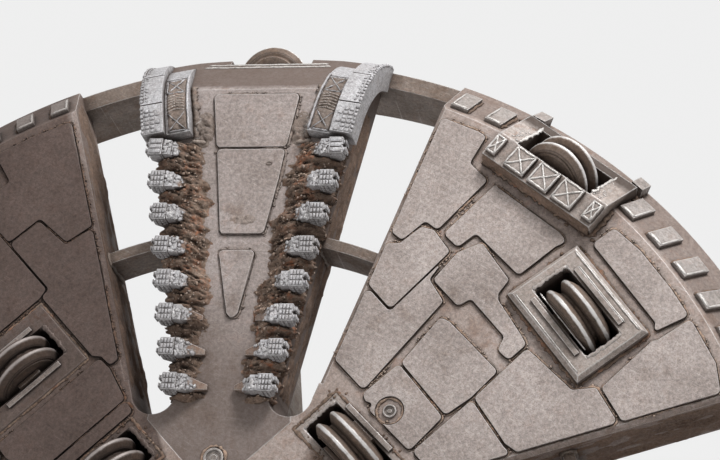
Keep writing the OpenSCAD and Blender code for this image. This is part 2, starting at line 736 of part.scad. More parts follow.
module end_blocks(half) {
    for (s = [-1, 1]) block([-block_half, -block_half, s > 0 ? half - block_t : -half],
        [block_half, block_half, s > 0 ? half : block_t - half]);
}

module axle(half) {
    translate([0, 0, -half]) cylinder(r = axle_r, h = 2 * half, $fn = 48);
    end_blocks(half);
}

module cutter_axles() {
    color(dark) {
        for (c = concat(FACE_CUTTERS, GAUGE_CUTTERS, CENTRE_CUTTERS)) cutter_frame(c) axle(slot_half);
        for (c = RIM_CUTTERS) cutter_frame(c) axle(rim_slot_half);
    }
}

// One ring's half outline as radius and place along the axle
function ring_points(z) = [[seat_r - 14, z - seat_half], [seat_r, z - seat_half],
    [disc_r - 6, z - tip_half - 4], [disc_r, z - tip_half + 4], [disc_r, z + tip_half - 4],
    [disc_r - 6, z + tip_half + 4], [seat_r, z + seat_half], [seat_r - 14, z + seat_half]];

module revolved(points) {
    rotate_extrude($fn = 96) polygon(points);
}

module twin_cutter(c) {
    color(bright) cutter_frame(c) revolved(concat(
        [[axle_r + axle_gap, -twin_half], [hub_r, -twin_half]],
        ring_points(-ring_pitch / 2), [[hub_r, 4 - ring_pitch / 2 + seat_half]],
        [[hub_r, ring_pitch / 2 - seat_half - 4]], ring_points(ring_pitch / 2),
        [[hub_r, twin_half], [axle_r + axle_gap, twin_half]]));
}

module single_cutter(c) {
    color(bright) cutter_frame(c) revolved(concat(
        [[axle_r + axle_gap, -single_half], [hub_r, -single_half]], ring_points(0),
        [[hub_r, single_half], [axle_r + axle_gap, single_half]]));
}

// Side view of a foam nozzle: a plug inside a raised ring
function nozzle_points(r) = [[0, 0], [0, 7], [0.34 * r, 7], [0.38 * r, 3], [0.7 * r, 3],
    [0.78 * r, 14], [0.94 * r, 14], [r, 10], [r, 0]];

module foam_nozzles() {
    color(bright) {
        for (a = SPOKE_ANGLES) at(a) translate([0, -head_depth, centre_r + 67]) rotate([90, 0, 0])
            rotate_extrude($fn = 48) polygon(nozzle_points(57));
        for (i = [0, 2]) at(PANEL_ANGLES[i]) translate([PORT[0], -head_depth, PORT[1]])
            rotate([90, 0, 0]) rotate_extrude($fn = 48) polygon(nozzle_points(38));
    }
}

module support_arms() {
    color(steel) for (a = SPOKE_ANGLES) at(a) cross_prism(arm_w / 2,
        [[flange_in_r + 50, head_depth - flange_t], [flange_r - 20, head_depth - flange_t],
        [rim_r - arm_foot, body_depth], [flange_r + 100, body_depth]]);
}

module drive_flange() {
    color(steel) difference() {
        turned([[flange_in_r, head_depth - flange_t], [flange_r, head_depth - flange_t],
            [flange_r, head_depth], [flange_in_r, head_depth]]);
        for (k = [0:flange_bolts - 1]) rotate([0, (k + 0.5) * 360 / flange_bolts, 0])
            translate([0, 1, flange_pcd / 2]) rotate([90, 0, 0])
                cylinder(r = flange_hole_r, h = flange_t + 2, $fn = 32);
    }
}

module supply_pipe() {
    color(dark) translate([0, body_depth + 60 - head_depth, 0]) rotate([-90, 0, 0])
        cylinder(r = pipe_r, h = head_depth - body_depth - 260, $fn = 64);
}

module mixing_bars() {
    color(steel) for (a = SPOKE_ANGLES) at(a) translate([0, body_depth - head_depth, rim_r - mixer_in])
        rotate([-90, 0, 0]) cylinder(r = mixer_r, h = mixer_len, $fn = 48);
}

centre_plate();
for (i = [0:3]) spoke(i);
for (i = [0:3]) panel(i);
rim_ring();
crossbars();
for (i = [0:3]) scrapers(i);
gauge_buckets();
spoke_plates();
panel_plates();
cutter_housings();
gauge_housings();
wear_blocks();
rim_pads();
cutter_axles();
foam_nozzles();
support_arms();
drive_flange();
supply_pipe();
mixing_bars();
for (c = concat(CENTRE_CUTTERS, FACE_CUTTERS, GAUGE_CUTTERS))
    twin_cutter(c);
for (c = RIM_CUTTERS) single_cutter(c);
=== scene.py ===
import math
import bmesh
import bpy
import numpy as np
from mathutils import Matrix, Vector
from mathutils.bvhtree import BVHTree


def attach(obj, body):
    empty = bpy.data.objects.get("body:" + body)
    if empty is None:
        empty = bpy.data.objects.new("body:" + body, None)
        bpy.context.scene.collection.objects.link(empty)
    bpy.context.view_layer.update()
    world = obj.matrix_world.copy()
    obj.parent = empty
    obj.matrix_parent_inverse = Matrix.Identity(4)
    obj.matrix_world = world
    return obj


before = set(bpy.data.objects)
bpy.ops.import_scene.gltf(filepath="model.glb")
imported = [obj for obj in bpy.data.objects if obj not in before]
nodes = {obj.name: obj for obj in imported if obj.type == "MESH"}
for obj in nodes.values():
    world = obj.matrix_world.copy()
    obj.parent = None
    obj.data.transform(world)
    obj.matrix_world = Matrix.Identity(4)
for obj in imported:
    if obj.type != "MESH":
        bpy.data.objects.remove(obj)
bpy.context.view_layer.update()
print("frame loaded:", len(nodes), "nodes")

# Sizes that the CAD part has too, in metres. The half widths are those at a radius of 1 m, and the
# spokes' bevel starts at spokeFace.
head = {"depth": 1.3, "rim": 3.3, "face": 3.034, "bevelDepth": 0.235, "bodyDepth": 0.45,
        "spokeHalf": 0.252, "spokeSlope": 0.1825, "panelHalf": 0.321, "panelSlope": 0.503,
        "spokeFace": 2.96, "spokeBevel": 0.758}
spokeLean, panelLean = math.atan(head["spokeSlope"]), math.atan(head["panelSlope"])
outward, backward = np.array((0.0, -1.0, 0.0)), np.array((0.0, 1.0, 0.0))  # out of the face, to the rear
rng = np.random.default_rng(11)  # the one source of chance, the same in every run
spokeAngles = (90, 180, 270, 0)
panelAngles = (45, 135, 225, 315)
gaugeAngles = (53.2, 131, 233.2, 311)


def spokeHalf(z):
    return head["spokeHalf"] + head["spokeSlope"] * (z - 1.0)


def panelHalf(z):
    return head["panelHalf"] + head["panelSlope"] * (z - 1.0)


def bevelAt(radius):  # depth of the panels' bevel
    return (radius - head["face"]) * head["bevelDepth"] / (head["rim"] - head["face"])


# x across, y behind the face and z out from the axis, at an angle round the head
def fromFace(angle, points):
    turn = math.radians(90 - angle)
    p = np.asarray(points, float)
    x, y, z = p[..., 0], p[..., 1], p[..., 2]
    return np.stack([x * math.cos(turn) + z * math.sin(turn), y - head["depth"],
                     z * math.cos(turn) - x * math.sin(turn)], -1)


def turned(angle, vectors):  # a direction at that angle
    return fromFace(angle, vectors) + np.array([0, head["depth"], 0])


def linked(name, data):  # a new object in the scene
    made = bpy.data.objects.new(name, data)
    bpy.context.scene.collection.objects.link(made)
    return made


class Pile:  # gathers many small forms, and becomes one mesh
    def __init__(self):
        self.points, self.quads, self.tris, self.count = [], [], [], 0

    def add(self, points, quads=(), tris=()):
        points = np.asarray(points, float).reshape(-1, 3)
        if len(quads):
            self.quads.append(np.asarray(quads, int).reshape(-1, 4) + self.count)
        if len(tris):
            self.tris.append(np.asarray(tris, int).reshape(-1, 3) + self.count)
        self.points.append(points)
        self.count += len(points)

    def build(self, name, material, slot, body="root", smooth=True):
        quads = np.concatenate(self.quads) if self.quads else np.zeros((0, 4), int)
        tris = np.concatenate(self.tris) if self.tris else np.zeros((0, 3), int)
        mesh = bpy.data.meshes.new(name)
        points = np.concatenate(self.points)
        mesh.vertices.add(len(points))
        mesh.vertices.foreach_set("co", points.astype(np.float32).ravel())
        mesh.loops.add(len(quads) * 4 + len(tris) * 3)
        mesh.loops.foreach_set("vertex_index", np.concatenate([quads.ravel(), tris.ravel()]).astype(np.int32))
        mesh.polygons.add(len(quads) + len(tris))
        starts = np.concatenate([np.arange(len(quads)) * 4, len(quads) * 4 + np.arange(len(tris)) * 3])
        mesh.polygons.foreach_set("loop_start", starts.astype(np.int32))
        mesh.update(calc_edges=True)
        mesh.validate()
        shell = bmesh.new()
        shell.from_mesh(mesh)
        bmesh.ops.recalc_face_normals(shell, faces=shell.faces)
        shell.to_mesh(mesh)
        shell.free()
        if smooth:
            mesh.shade_smooth()
        piece = linked(name, mesh)
        mesh.materials.append(material)
        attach(piece, body)
        return piece


def grain(points, seed):  # smooth random field from -1 to 1, with cells of one unit
    base = np.floor(points).astype(np.int64)
    f = points - base
    f = f * f * (3 - 2 * f)
    total = np.zeros(points.shape[:-1])
    for corner in np.ndindex(2, 2, 2):
        cell = base + np.array(corner)
        h = (cell[..., 0] * 374761393 + cell[..., 1] * 668265263 + cell[..., 2] * 1440662683
             + seed * 974634777) & 0xFFFFFFFF
        h = ((h ^ (h >> 13)) * 1274126177) & 0xFFFFFFFF
        h = h ^ (h >> 16)
        share = np.prod(np.where(np.array(corner), f, 1 - f), -1)
        total += (h / 2**31 - 1) * share
    return total


def rough(points, size, seed, octaves=3):  # layers of that field, the widest with cells of the given size
    total, height = 0, 1.0
    for k in range(octaves):
        total = total + height * grain(np.asarray(points) / np.asarray(size) * 2**k, seed + k)
        height *= 0.5
    return total


def waves(a, b, seed, octaves=3):  # the same over two directions of a surface
    return rough(np.stack([a, b, a * 0], -1), 1, seed, octaves)


def inset(width, *distances):  # from 0 at the nearest edge to 1 at that width
    return np.clip(np.minimum.reduce(distances) / width, 0, 1)


def evenly(path, step, closed=False):  # the same line with points at even steps
    path = np.asarray(path, float)
    if closed:
        path = np.vstack([path, path[:1]])
    run = np.concatenate([[0], np.cumsum(np.linalg.norm(np.diff(path, axis=0), axis=1))])
    count = max(3, int(round(run[-1] / step)))
    at = np.linspace(0, run[-1], count + 1)
    if closed:
        at = at[:-1]
    return np.stack([np.interp(at, run, path[:, k]) for k in range(3)], -1)


def unit(vectors):
    return vectors / np.maximum(np.linalg.norm(vectors, axis=-1, keepdims=True), 1e-9)


def box(a, b):  # corners of a rectangle with these half sides
    return [(-a, -b), (a, -b), (a, b), (-a, b)]


def ringQuads(rows, steps):  # faces of a closed ring of closed rows
    index = np.arange(rows * steps).reshape(rows, steps)
    below, right = np.roll(index, -1, 0), np.roll(index, -1, 1)
    return np.stack([index, below, np.roll(below, -1, 1), right], -1).reshape(-1, 4)


# A weld bead or bar
def bead(pile, path, up, width, height, uneven=0.25, closed=False, sides=7):
    path = np.asarray(path, float)
    n = len(path)
    along = np.roll(path, -1, 0) - np.roll(path, 1, 0)
    if not closed:
        along[0], along[-1] = path[1] - path[0], path[-1] - path[-2]
    along, up = unit(along), unit(np.broadcast_to(np.asarray(up, float), path.shape))
    side = unit(np.cross(along, up))
    width = np.broadcast_to(np.asarray(width, float), (n,)) * (1 + uneven * rng.uniform(-1, 1, n))
    height = np.broadcast_to(np.asarray(height, float), (n,)) * (1 + uneven * rng.uniform(-1, 1, n))
    if not closed:
        taper = np.ones(n)
        taper[[0, -1]] = 0.45
        width, height = width * taper, height * taper
    angles = np.arange(sides) / sides * 2 * math.pi + 0.5 * math.pi
    upPart = np.where(np.sin(angles) > 0, np.sin(angles), 0.4 * np.sin(angles))
    wobble = side * (rng.uniform(-0.2, 0.2, n) * uneven * width)[:, None]
    across = (np.cos(angles)[None, :] * width[:, None] / 2)[..., None]
    above = (upPart[None, :] * height[:, None])[..., None]
    rings = (path + wobble)[:, None, :] + side[:, None, :] * across + up[:, None, :] * above
    count, total = n if closed else n - 1, n * sides
    a = np.arange(count)[:, None] * sides + np.arange(sides)[None, :]
    b = np.arange(count)[:, None] * sides + (np.arange(sides)[None, :] + 1) % sides
    quads = np.stack([a, b, (b + sides) % total, (a + sides) % total], -1).reshape(-1, 4)
    if closed:
        pile.add(rings, quads)
        return
    ends = np.vstack([rings.reshape(-1, 3), path[:1], path[-1:]])
    ring = np.arange(sides)
    first = np.stack([ring, np.full(sides, total), (ring + 1) % sides], -1)
    last = (n - 1) * sides
    second = np.stack([last + ring, last + (ring + 1) % sides, np.full(sides, total + 1)], -1)
    pile.add(ends, quads, np.vstack([first, second]))


def tile(pile, centre, across, along, up, width, length, height, inset=0.22, sink=0.002):  # a raised pillow
    centre, across, along, up = (np.asarray(v, float) for v in (centre, across, along, up))
    corners = np.array([[-1, -1], [1, -1], [1, 1], [-1, 1]]) * 0.5
    rows = []
    for share, level in ((1, -sink), (1, 0.55 * height), (1 - 2 * inset, height)):
        cut = (1 - share) * min(width, length)
        rows.append(centre + corners[:, :1] * (width - cut) * across + corners[:, 1:] * (length - cut) * along
                    + level * up)
    quads = [[3, 2, 1, 0], [8, 9, 10, 11]]
    for row in (0, 4):
        quads += [[row + k, row + (k + 1) % 4, row + 4 + (k + 1) % 4, row + 4 + k] for k in range(4)]
    if np.dot(np.cross(across, along), up) < 0:
        quads = [q[::-1] for q in quads]
    pile.add(np.vstack(rows), quads)


golden = (1 + 5**0.5) / 2  # a ball of twelve points and twenty faces
ballPoints = unit(np.array([[-1, golden, 0], [1, golden, 0], [-1, -golden, 0], [1, -golden, 0],
                            [0, -1, golden], [0, 1, golden], [0, -1, -golden], [0, 1, -golden],
                            [golden, 0, -1], [golden, 0, 1], [-golden, 0, -1], [-golden, 0, 1]], float))
ballFaces = np.array([[0, 11, 5], [0, 5, 1], [0, 1, 7], [0, 7, 10], [0, 10, 11], [1, 5, 9], [5, 11, 4],
                      [11, 10, 2], [10, 7, 6], [7, 1, 8], [3, 9, 4], [3, 4, 2], [3, 2, 6], [3, 6, 8],
                      [3, 8, 9], [4, 9, 5], [2, 4, 11], [6, 2, 10], [8, 6, 7], [9, 8, 1]])


def crumbs(pile, places, ups, sizes, flat=0.6, uneven=0.3):  # lumps of mud or slag that lie on a surface
    places, sizes = np.asarray(places, float), np.asarray(sizes, float)
    ups = unit(np.broadcast_to(np.asarray(ups, float), places.shape))
    spin = unit(rng.normal(size=places.shape))
    side = unit(np.cross(ups, spin))
    other = np.cross(ups, side)
    shape = ballPoints[None] * (1 + uneven * rng.uniform(-1, 1, (len(places), 12, 1)))
    stretch = rng.uniform(0.8, 1.5, (len(places), 1, 1))
    local = shape * sizes[:, None, None]
    points = places[:, None] + local[..., :1] * side[:, None] * stretch + local[..., 1:2] * other[:, None] \
        + local[..., 2:] * flat * ups[:, None]
    faces = ballFaces[None] + 12 * np.arange(len(places))[:, None, None]
    pile.add(points, tris=faces.reshape(-1, 3))


def strewn(pile, path, count, spread, smallest, largest):  # crumbs scattered along a line on the face
    pick = rng.integers(0, len(path), count)
    crumbs(pile, path[pick] + rng.normal(size=(count, 3)) * (spread, 0, spread), outward,
           rng.uniform(smallest, largest, count))


def patch(pile, grid, normals, heights, sink=0.012, flip=False):  # a closed skin over a grid of points
    m, n = heights.shape
    normals = np.broadcast_to(normals, grid.shape)
    top = (grid + normals * heights[..., None]).reshape(-1, 3)
    index = np.arange(m * n).reshape(m, n)
    quads = np.stack([index[:-1, :-1], index[1:, :-1], index[1:, 1:], index[:-1, 1:]], -1).reshape(-1, 4)
    rim = np.concatenate([index[:, 0], index[-1, 1:], index[-2::-1, -1], index[0, -2:0:-1]])
    low = (grid - normals * sink).reshape(-1, 3)[rim]
    k = len(rim)
    ring = np.arange(k)
    nxt = (ring + 1) % k
    walls = np.stack([rim[nxt], rim[ring], m * n + ring, m * n + nxt], -1)
    centre = low.mean(0)
    fan = np.stack([m * n + ring, np.full(k, m * n + k), m * n + nxt], -1)
    if flip:
        quads, walls, fan = quads[:, ::-1], walls[:, ::-1], fan[:, ::-1]
    pile.add(np.vstack([top, low, centre[None]]), np.vstack([quads, walls]), fan)


# Materials

def tone(r, g, b):  # a colour as it shows on a screen, 0 to 255
    return tuple(((c / 255 + 0.055) / 1.055) ** 2.4 for c in (r, g, b)) + (1.0,)


def add(tree, kind, inputs=None, **settings):
    made = tree.nodes.new("ShaderNode" + kind)
    for key, value in settings.items():
        setattr(made, key, value)
    for key, value in (inputs or {}).items():
        if isinstance(value, bpy.types.NodeSocket):
            tree.links.new(value, made.inputs[key])
        else:
            made.inputs[key].default_value = value
    return made


def calc(tree, kind, *values):
    return add(tree, "Math", dict(enumerate(values)), operation=kind).outputs[0]


def span(tree, value, low, high, start=0.0, end=1.0):  # maps a range onto another, with ends that hold
    return add(tree, "MapRange", {0: value, 1: low, 2: high, 3: start, 4: end}).outputs[0]


def cloudy(tree, vector, scale, detail=5.0, coarse=0.6, bend=0.0):
    return add(tree, "TexNoise", {"Vector": vector, "Scale": scale, "Detail": detail, "Roughness": coarse,
                                  "Distortion": bend}).outputs[0]


def mixed(tree, share, first, second, kind="MIX"):
    return add(tree, "Mix", {0: share, 6: first, 7: second}, data_type="RGBA", blend_type=kind).outputs[2]


def newMaterial(name):
    material = bpy.data.materials.new(name)
    material.use_nodes = True
    tree = material.node_tree
    tree.nodes.clear()
    surface = add(tree, "BsdfPrincipled")
    tree.links.new(surface.outputs[0], add(tree, "OutputMaterial").inputs[0])
    return material, tree, surface


# Every steel starts from these: colours, the share of each layer, and sizes in metres
baseLook = {
    "light": tone(180, 169, 164), "dark": tone(152, 140, 134), "spot": tone(128, 114, 106), "speckle": 0.5,
    "mottle": 0.32, "rust": tone(140, 98, 70), "rustShare": 0.3,
    "mud": tone(112, 92, 78), "mudShare": 0.5, "mudSize": 5.0, "mudFrom": 0.56,
    "edge": tone(222, 219, 217), "edgeWearAndHighlightShare": 0.7, "edgeWidth": 0.008,
    "dirtAndShade": tone(58, 44, 35), "dirtAndShadeShare": 0.9, "dirtAndShadeReach": 0.1,
    "lane": tone(200, 192, 188), "laneShare": 0.36, "scratch": 0.45,
    "bump": 0.5, "roughness": 0.62, "metal": 0.2,
    "shadeAndGrime": tone(88, 72, 63), "hubGrime": 0.0, "deepShadeAndGrime": 0.0, "deepFrom": 0.004,
    "wetShade": tone(126, 109, 102), "leftShadeAndGrime": 0.0,
    "laneScale": (85.0, 3.2), "scratchScale": (240.0, 9.0),  # across the lines and along them
    "leftPanel": (1.935, 1.965, 2.76, 2.85), "leftDepth": (-1.0, -0.88), "hubReach": (1.15, 1.75),
    "ringGroove": (0.176, 0.18, 0.184, 0.188), "ringTip": (0.211, 0.2155), "tailFrom": (0.105, 0.125),
}


def vector(tree, kind, *values, output="Vector"):
    return add(tree, "VectorMath", dict(enumerate(values)), operation=kind).outputs[output]


def scaled(tree, value, share):
    return add(tree, "VectorMath", {0: value, "Scale": share}, operation="SCALE").outputs[0]


# A turned part's own normal, round along its rings and crisp across them
def coneNormal(tree, away, direction):
    def inWorld(value):
        return add(tree, "VectorTransform", {0: value}, vector_type="VECTOR", convert_from="OBJECT",
                   convert_to="WORLD").outputs[0]

    along = vector(tree, "DOT_PRODUCT", away, direction, output="Value")
    level = scaled(tree, direction, along)
    radial = inWorld(vector(tree, "NORMALIZE", vector(tree, "SUBTRACT", away, level)))
    axis = inWorld(direction)
    lean = vector(tree, "DOT_PRODUCT", add(tree, "NewGeometry").outputs["True Normal"], axis, output="Value")
    left = calc(tree, "SUBTRACT", 1.0, calc(tree, "MULTIPLY", lean, lean))
    rest = calc(tree, "SQRT", calc(tree, "MAXIMUM", left, 0.0))
    return vector(tree, "ADD", scaled(tree, axis, lean), scaled(tree, radial, rest))


def fieldsOf(tree):  # noise at several sizes, and a point's place round the head's axis
    place = add(tree, "TexCoord").outputs["Object"]
    x, y, z = add(tree, "SeparateXYZ", {0: place}).outputs
    squares = calc(tree, "ADD", calc(tree, "MULTIPLY", x, x), calc(tree, "MULTIPLY", z, z))
    blotches = cloudy(tree, place, 17.0, 6, 0.68, 0.3)
    return {"place": place, "x": x, "y": y, "z": z, "reach": calc(tree, "SQRT", squares),
            "around": calc(tree, "ARCTAN2", z, x), "clouds": cloudy(tree, place, 2.2, 7, 0.6, 0.15),
            "blotches": blotches, "fine": cloudy(tree, place, 62.0, 4, 0.75),
            "speckle": cloudy(tree, place, 120.0, 3, 0.8), "mottle": cloudy(tree, place, 50.0, 5, 0.8),
            "wander": span(tree, blotches, 0.3, 0.7, -0.5, 0.5)}


def streaks(tree, across, along, depth, scale, detail, coarse):  # noise drawn out along lines
    drawn = add(tree, "CombineXYZ", {0: calc(tree, "MULTIPLY", across, scale[0]),
                                     1: calc(tree, "MULTIPLY", along, scale[1]), 2: depth}).outputs[0]
    return cloudy(tree, drawn, 1.0, detail, coarse)


def bareSteel(tree, look, field):  # cloudy steel with wear lines round the axis and straight scratches
    colour = mixed(tree, span(tree, field["clouds"], 0.34, 0.66), look["dark"], look["light"])
    colour = mixed(tree, span(tree, field["fine"], 0.46, 0.66, 0, 0.6), colour, look["light"])
    colour = mixed(tree, span(tree, field["speckle"], 0.5, 0.62, 0, look["speckle"]), colour, look["spot"])
    lane = streaks(tree, field["reach"], field["around"], field["y"], look["laneScale"], 4, 0.7)
    colour = mixed(tree, span(tree, lane, 0.56, 0.74, 0, look["laneShare"]), colour, look["lane"])
    tilted = calc(tree, "ADD", calc(tree, "MULTIPLY", field["x"], 0.5),
                  calc(tree, "MULTIPLY", field["z"], 0.87))
    scratch = streaks(tree, tilted, field["x"], field["y"], look["scratchScale"], 2, 0.5)
    return mixed(tree, span(tree, scratch, 0.62, 0.72, 0, look["scratch"]), colour, look["lane"])


def rustAndMud(tree, look, field, colour):  # rust in blotches, dried mud in patches, and a mottle over both
    rusty = calc(tree, "MULTIPLY", span(tree, field["blotches"], 0.5, 0.7),
                 span(tree, field["clouds"], 0.42, 0.6))
    colour = mixed(tree, calc(tree, "MULTIPLY", rusty, look["rustShare"]), colour, look["rust"])
    patches = cloudy(tree, field["place"], look["mudSize"], 8, 0.7, 0.4)
    muddy = span(tree, patches, look["mudFrom"], look["mudFrom"] + 0.13, 0, look["mudShare"])
    colour = mixed(tree, muddy, colour, look["mud"])
    low, high = 1 - look["mottle"], 1 + 0.7 * look["mottle"]
    return mixed(tree, 1.0, colour, span(tree, field["mottle"], 0.36, 0.64, low, high), "MULTIPLY"), muddy


def shadeAndGrimeOf(tree, look, field):  # darker near the hub, and painted shade with grime on what lies behind the face
    near, far = look["hubReach"]
    ragged = calc(tree, "ADD", field["reach"], calc(tree, "MULTIPLY", field["wander"], 0.3))
    behind = calc(tree, "ADD", calc(tree, "ADD", field["y"], head["depth"]),
                  calc(tree, "MULTIPLY", field["wander"], 0.012))
    return calc(tree, "MAXIMUM", span(tree, ragged, far, near, 0, look["hubGrime"]),
                span(tree, behind, look["deepFrom"], look["deepFrom"] + 0.03, 0, look["deepShadeAndGrime"]))


def wetDirtAndShade(tree, look, field):  # painted shade and wetter mud over the second panel's face, which the picture shows darker
    a, b, c, d = look["leftPanel"]
    deep, shallow = look["leftDepth"]
    inside = calc(tree, "MULTIPLY", span(tree, field["around"], a, b), span(tree, field["around"], d, c))
    return calc(tree, "MULTIPLY", inside, span(tree, field["y"], shallow, deep, 0, look["leftShadeAndGrime"]))


def scraperTails(tree, look, field, colour, spoke):  # rust from the weld on the tails and under them
    local = add(tree, "VectorRotate", {"Vector": field["place"], "Angle": math.radians(90 - spoke)},
                rotation_type="Y_AXIS", invert=True).outputs[0]
    x, _, z = add(tree, "SeparateXYZ", {0: local}).outputs
    half = calc(tree, "ADD", calc(tree, "MULTIPLY", z, head["spokeSlope"]), spokeHalf(0.0))
    inward = calc(tree, "SUBTRACT", half, calc(tree, "ABSOLUTE", x))
    inward = calc(tree, "ADD", inward, calc(tree, "MULTIPLY", field["wander"], 0.06))
    tail = span(tree, inward, *look["tailFrom"], 0, 0.9)
    earth = mixed(tree, span(tree, field["blotches"], 0.42, 0.58), look["tail"], look["tailRust"])
    earth = mixed(tree, span(tree, field["fine"], 0.5, 0.62, 0, 0.6), earth, look["tailDark"])
    return mixed(tree, tail, colour, earth), tail


def polishedRing(tree, look, field, colour, centre, direction):  # a bright tip, and dirt with painted shade in the grooves
    a, b, c, d = look["ringGroove"]
    away = vector(tree, "SUBTRACT", field["place"], centre)
    out = vector(tree, "LENGTH", vector(tree, "CROSS_PRODUCT", away, direction), output="Value")
    tip = calc(tree, "ADD", out, span(tree, field["blotches"], 0.3, 0.7, -0.0025, 0.0025))
    groove = calc(tree, "MULTIPLY", span(tree, out, a, b), span(tree, out, d, c))
    # painted shade with mud in the valleys between the rings
    colour = mixed(tree, calc(tree, "MULTIPLY", groove, 0.7), colour, look["dirtAndShade"])
    polished = span(tree, tip, *look["ringTip"], 0, 0.85)
    return mixed(tree, polished, colour, look["edge"]), polished, coneNormal(tree, away, direction)


def wornSteel(name, changes, axle=None, spoke=None):
    look = dict(baseLook, **changes)
    material, tree, surface = newMaterial(name)
    field = fieldsOf(tree)
    blotches = field["blotches"]
    colour, muddy = rustAndMud(tree, look, field, bareSteel(tree, look, field))
    shadeAndGrime, second = shadeAndGrimeOf(tree, look, field), wetDirtAndShade(tree, look, field)
    # darkens near the hub, and paints shade into the recesses behind the face
    colour = mixed(tree, shadeAndGrime, colour, look["shadeAndGrime"])
    if spoke is not None:
        colour, tail = scraperTails(tree, look, field, colour, spoke)
        shadeAndGrime = calc(tree, "MAXIMUM", shadeAndGrime, tail)
    # Dirt with painted shade in the corners, and bright edges that are worn and partly a painted highlight
    openness = add(tree, "AmbientOcclusion", {"Distance": look["dirtAndShadeReach"]}, samples=6).outputs["AO"]
    ragged = calc(tree, "ADD", openness, span(tree, blotches, 0.3, 0.7, -0.14, 0.14))
    # caked: painted shade in corners and hollows, from ambient occlusion, with some real dirt
    caked = span(tree, ragged, 0.88, 0.5, 0, look["dirtAndShadeShare"])
    colour = mixed(tree, caked, colour, look["dirtAndShade"])
    worn = add(tree, "Bevel", {"Radius": look["edgeWidth"]}, samples=5).outputs[0]
    flat = add(tree, "NewGeometry").outputs["Normal"]
    turnedBy = vector(tree, "DOT_PRODUCT", worn, flat, output="Value")
    # bright edges: worn metal, partly a painted highlight on the convex edges
    edge = calc(tree, "MULTIPLY", span(tree, turnedBy, 0.995, 0.93), span(tree, openness, 0.62, 0.86))
    edge = calc(tree, "MULTIPLY", edge, span(tree, blotches, 0.36, 0.52, 0.25, look["edgeWearAndHighlightShare"]))
    colour = mixed(tree, edge, colour, look["edge"])
    if axle:
        colour, polished, worn = polishedRing(tree, look, field, colour, *axle)
        edge = calc(tree, "MAXIMUM", edge, polished)
    # painted shade: the second panel's colour is multiplied darker, over its wetter mud
    colour = mixed(tree, second, colour, look["wetShade"], "MULTIPLY")
    tree.links.new(colour, surface.inputs["Base Color"])
    # Shine and relief
    # mud and grime together with the masks of the painted shade, used for roughness and relief
    dustAndShade = calc(tree, "MAXIMUM", calc(tree, "MAXIMUM", muddy, caked), calc(tree, "MAXIMUM", shadeAndGrime, second))
    dull = span(tree, blotches, 0.3, 0.7, look["roughness"] - 0.08, look["roughness"] + 0.12)
    shine = calc(tree, "SUBTRACT", dull, calc(tree, "MULTIPLY", edge, 0.3))
    tree.links.new(calc(tree, "ADD", shine, calc(tree, "MULTIPLY", dustAndShade, 0.2)), surface.inputs["Roughness"])
    bare = calc(tree, "MULTIPLY", calc(tree, "SUBTRACT", 1.0, dustAndShade), look["metal"])
    bare = calc(tree, "MAXIMUM", bare, calc(tree, "MULTIPLY", edge, 0.55))
    tree.links.new(bare, surface.inputs["Metallic"])
    relief = calc(tree, "ADD", calc(tree, "MULTIPLY", blotches, 0.5),
                  calc(tree, "MULTIPLY", field["mottle"], 0.9))
    relief = calc(tree, "ADD", relief, calc(tree, "MULTIPLY", dustAndShade, 0.5))
    bump = add(tree, "Bump", {"Strength": look["bump"], "Distance": 0.006, "Height": relief, "Normal": worn})
    tree.links.new(bump.outputs[0], surface.inputs["Normal"])
    return material


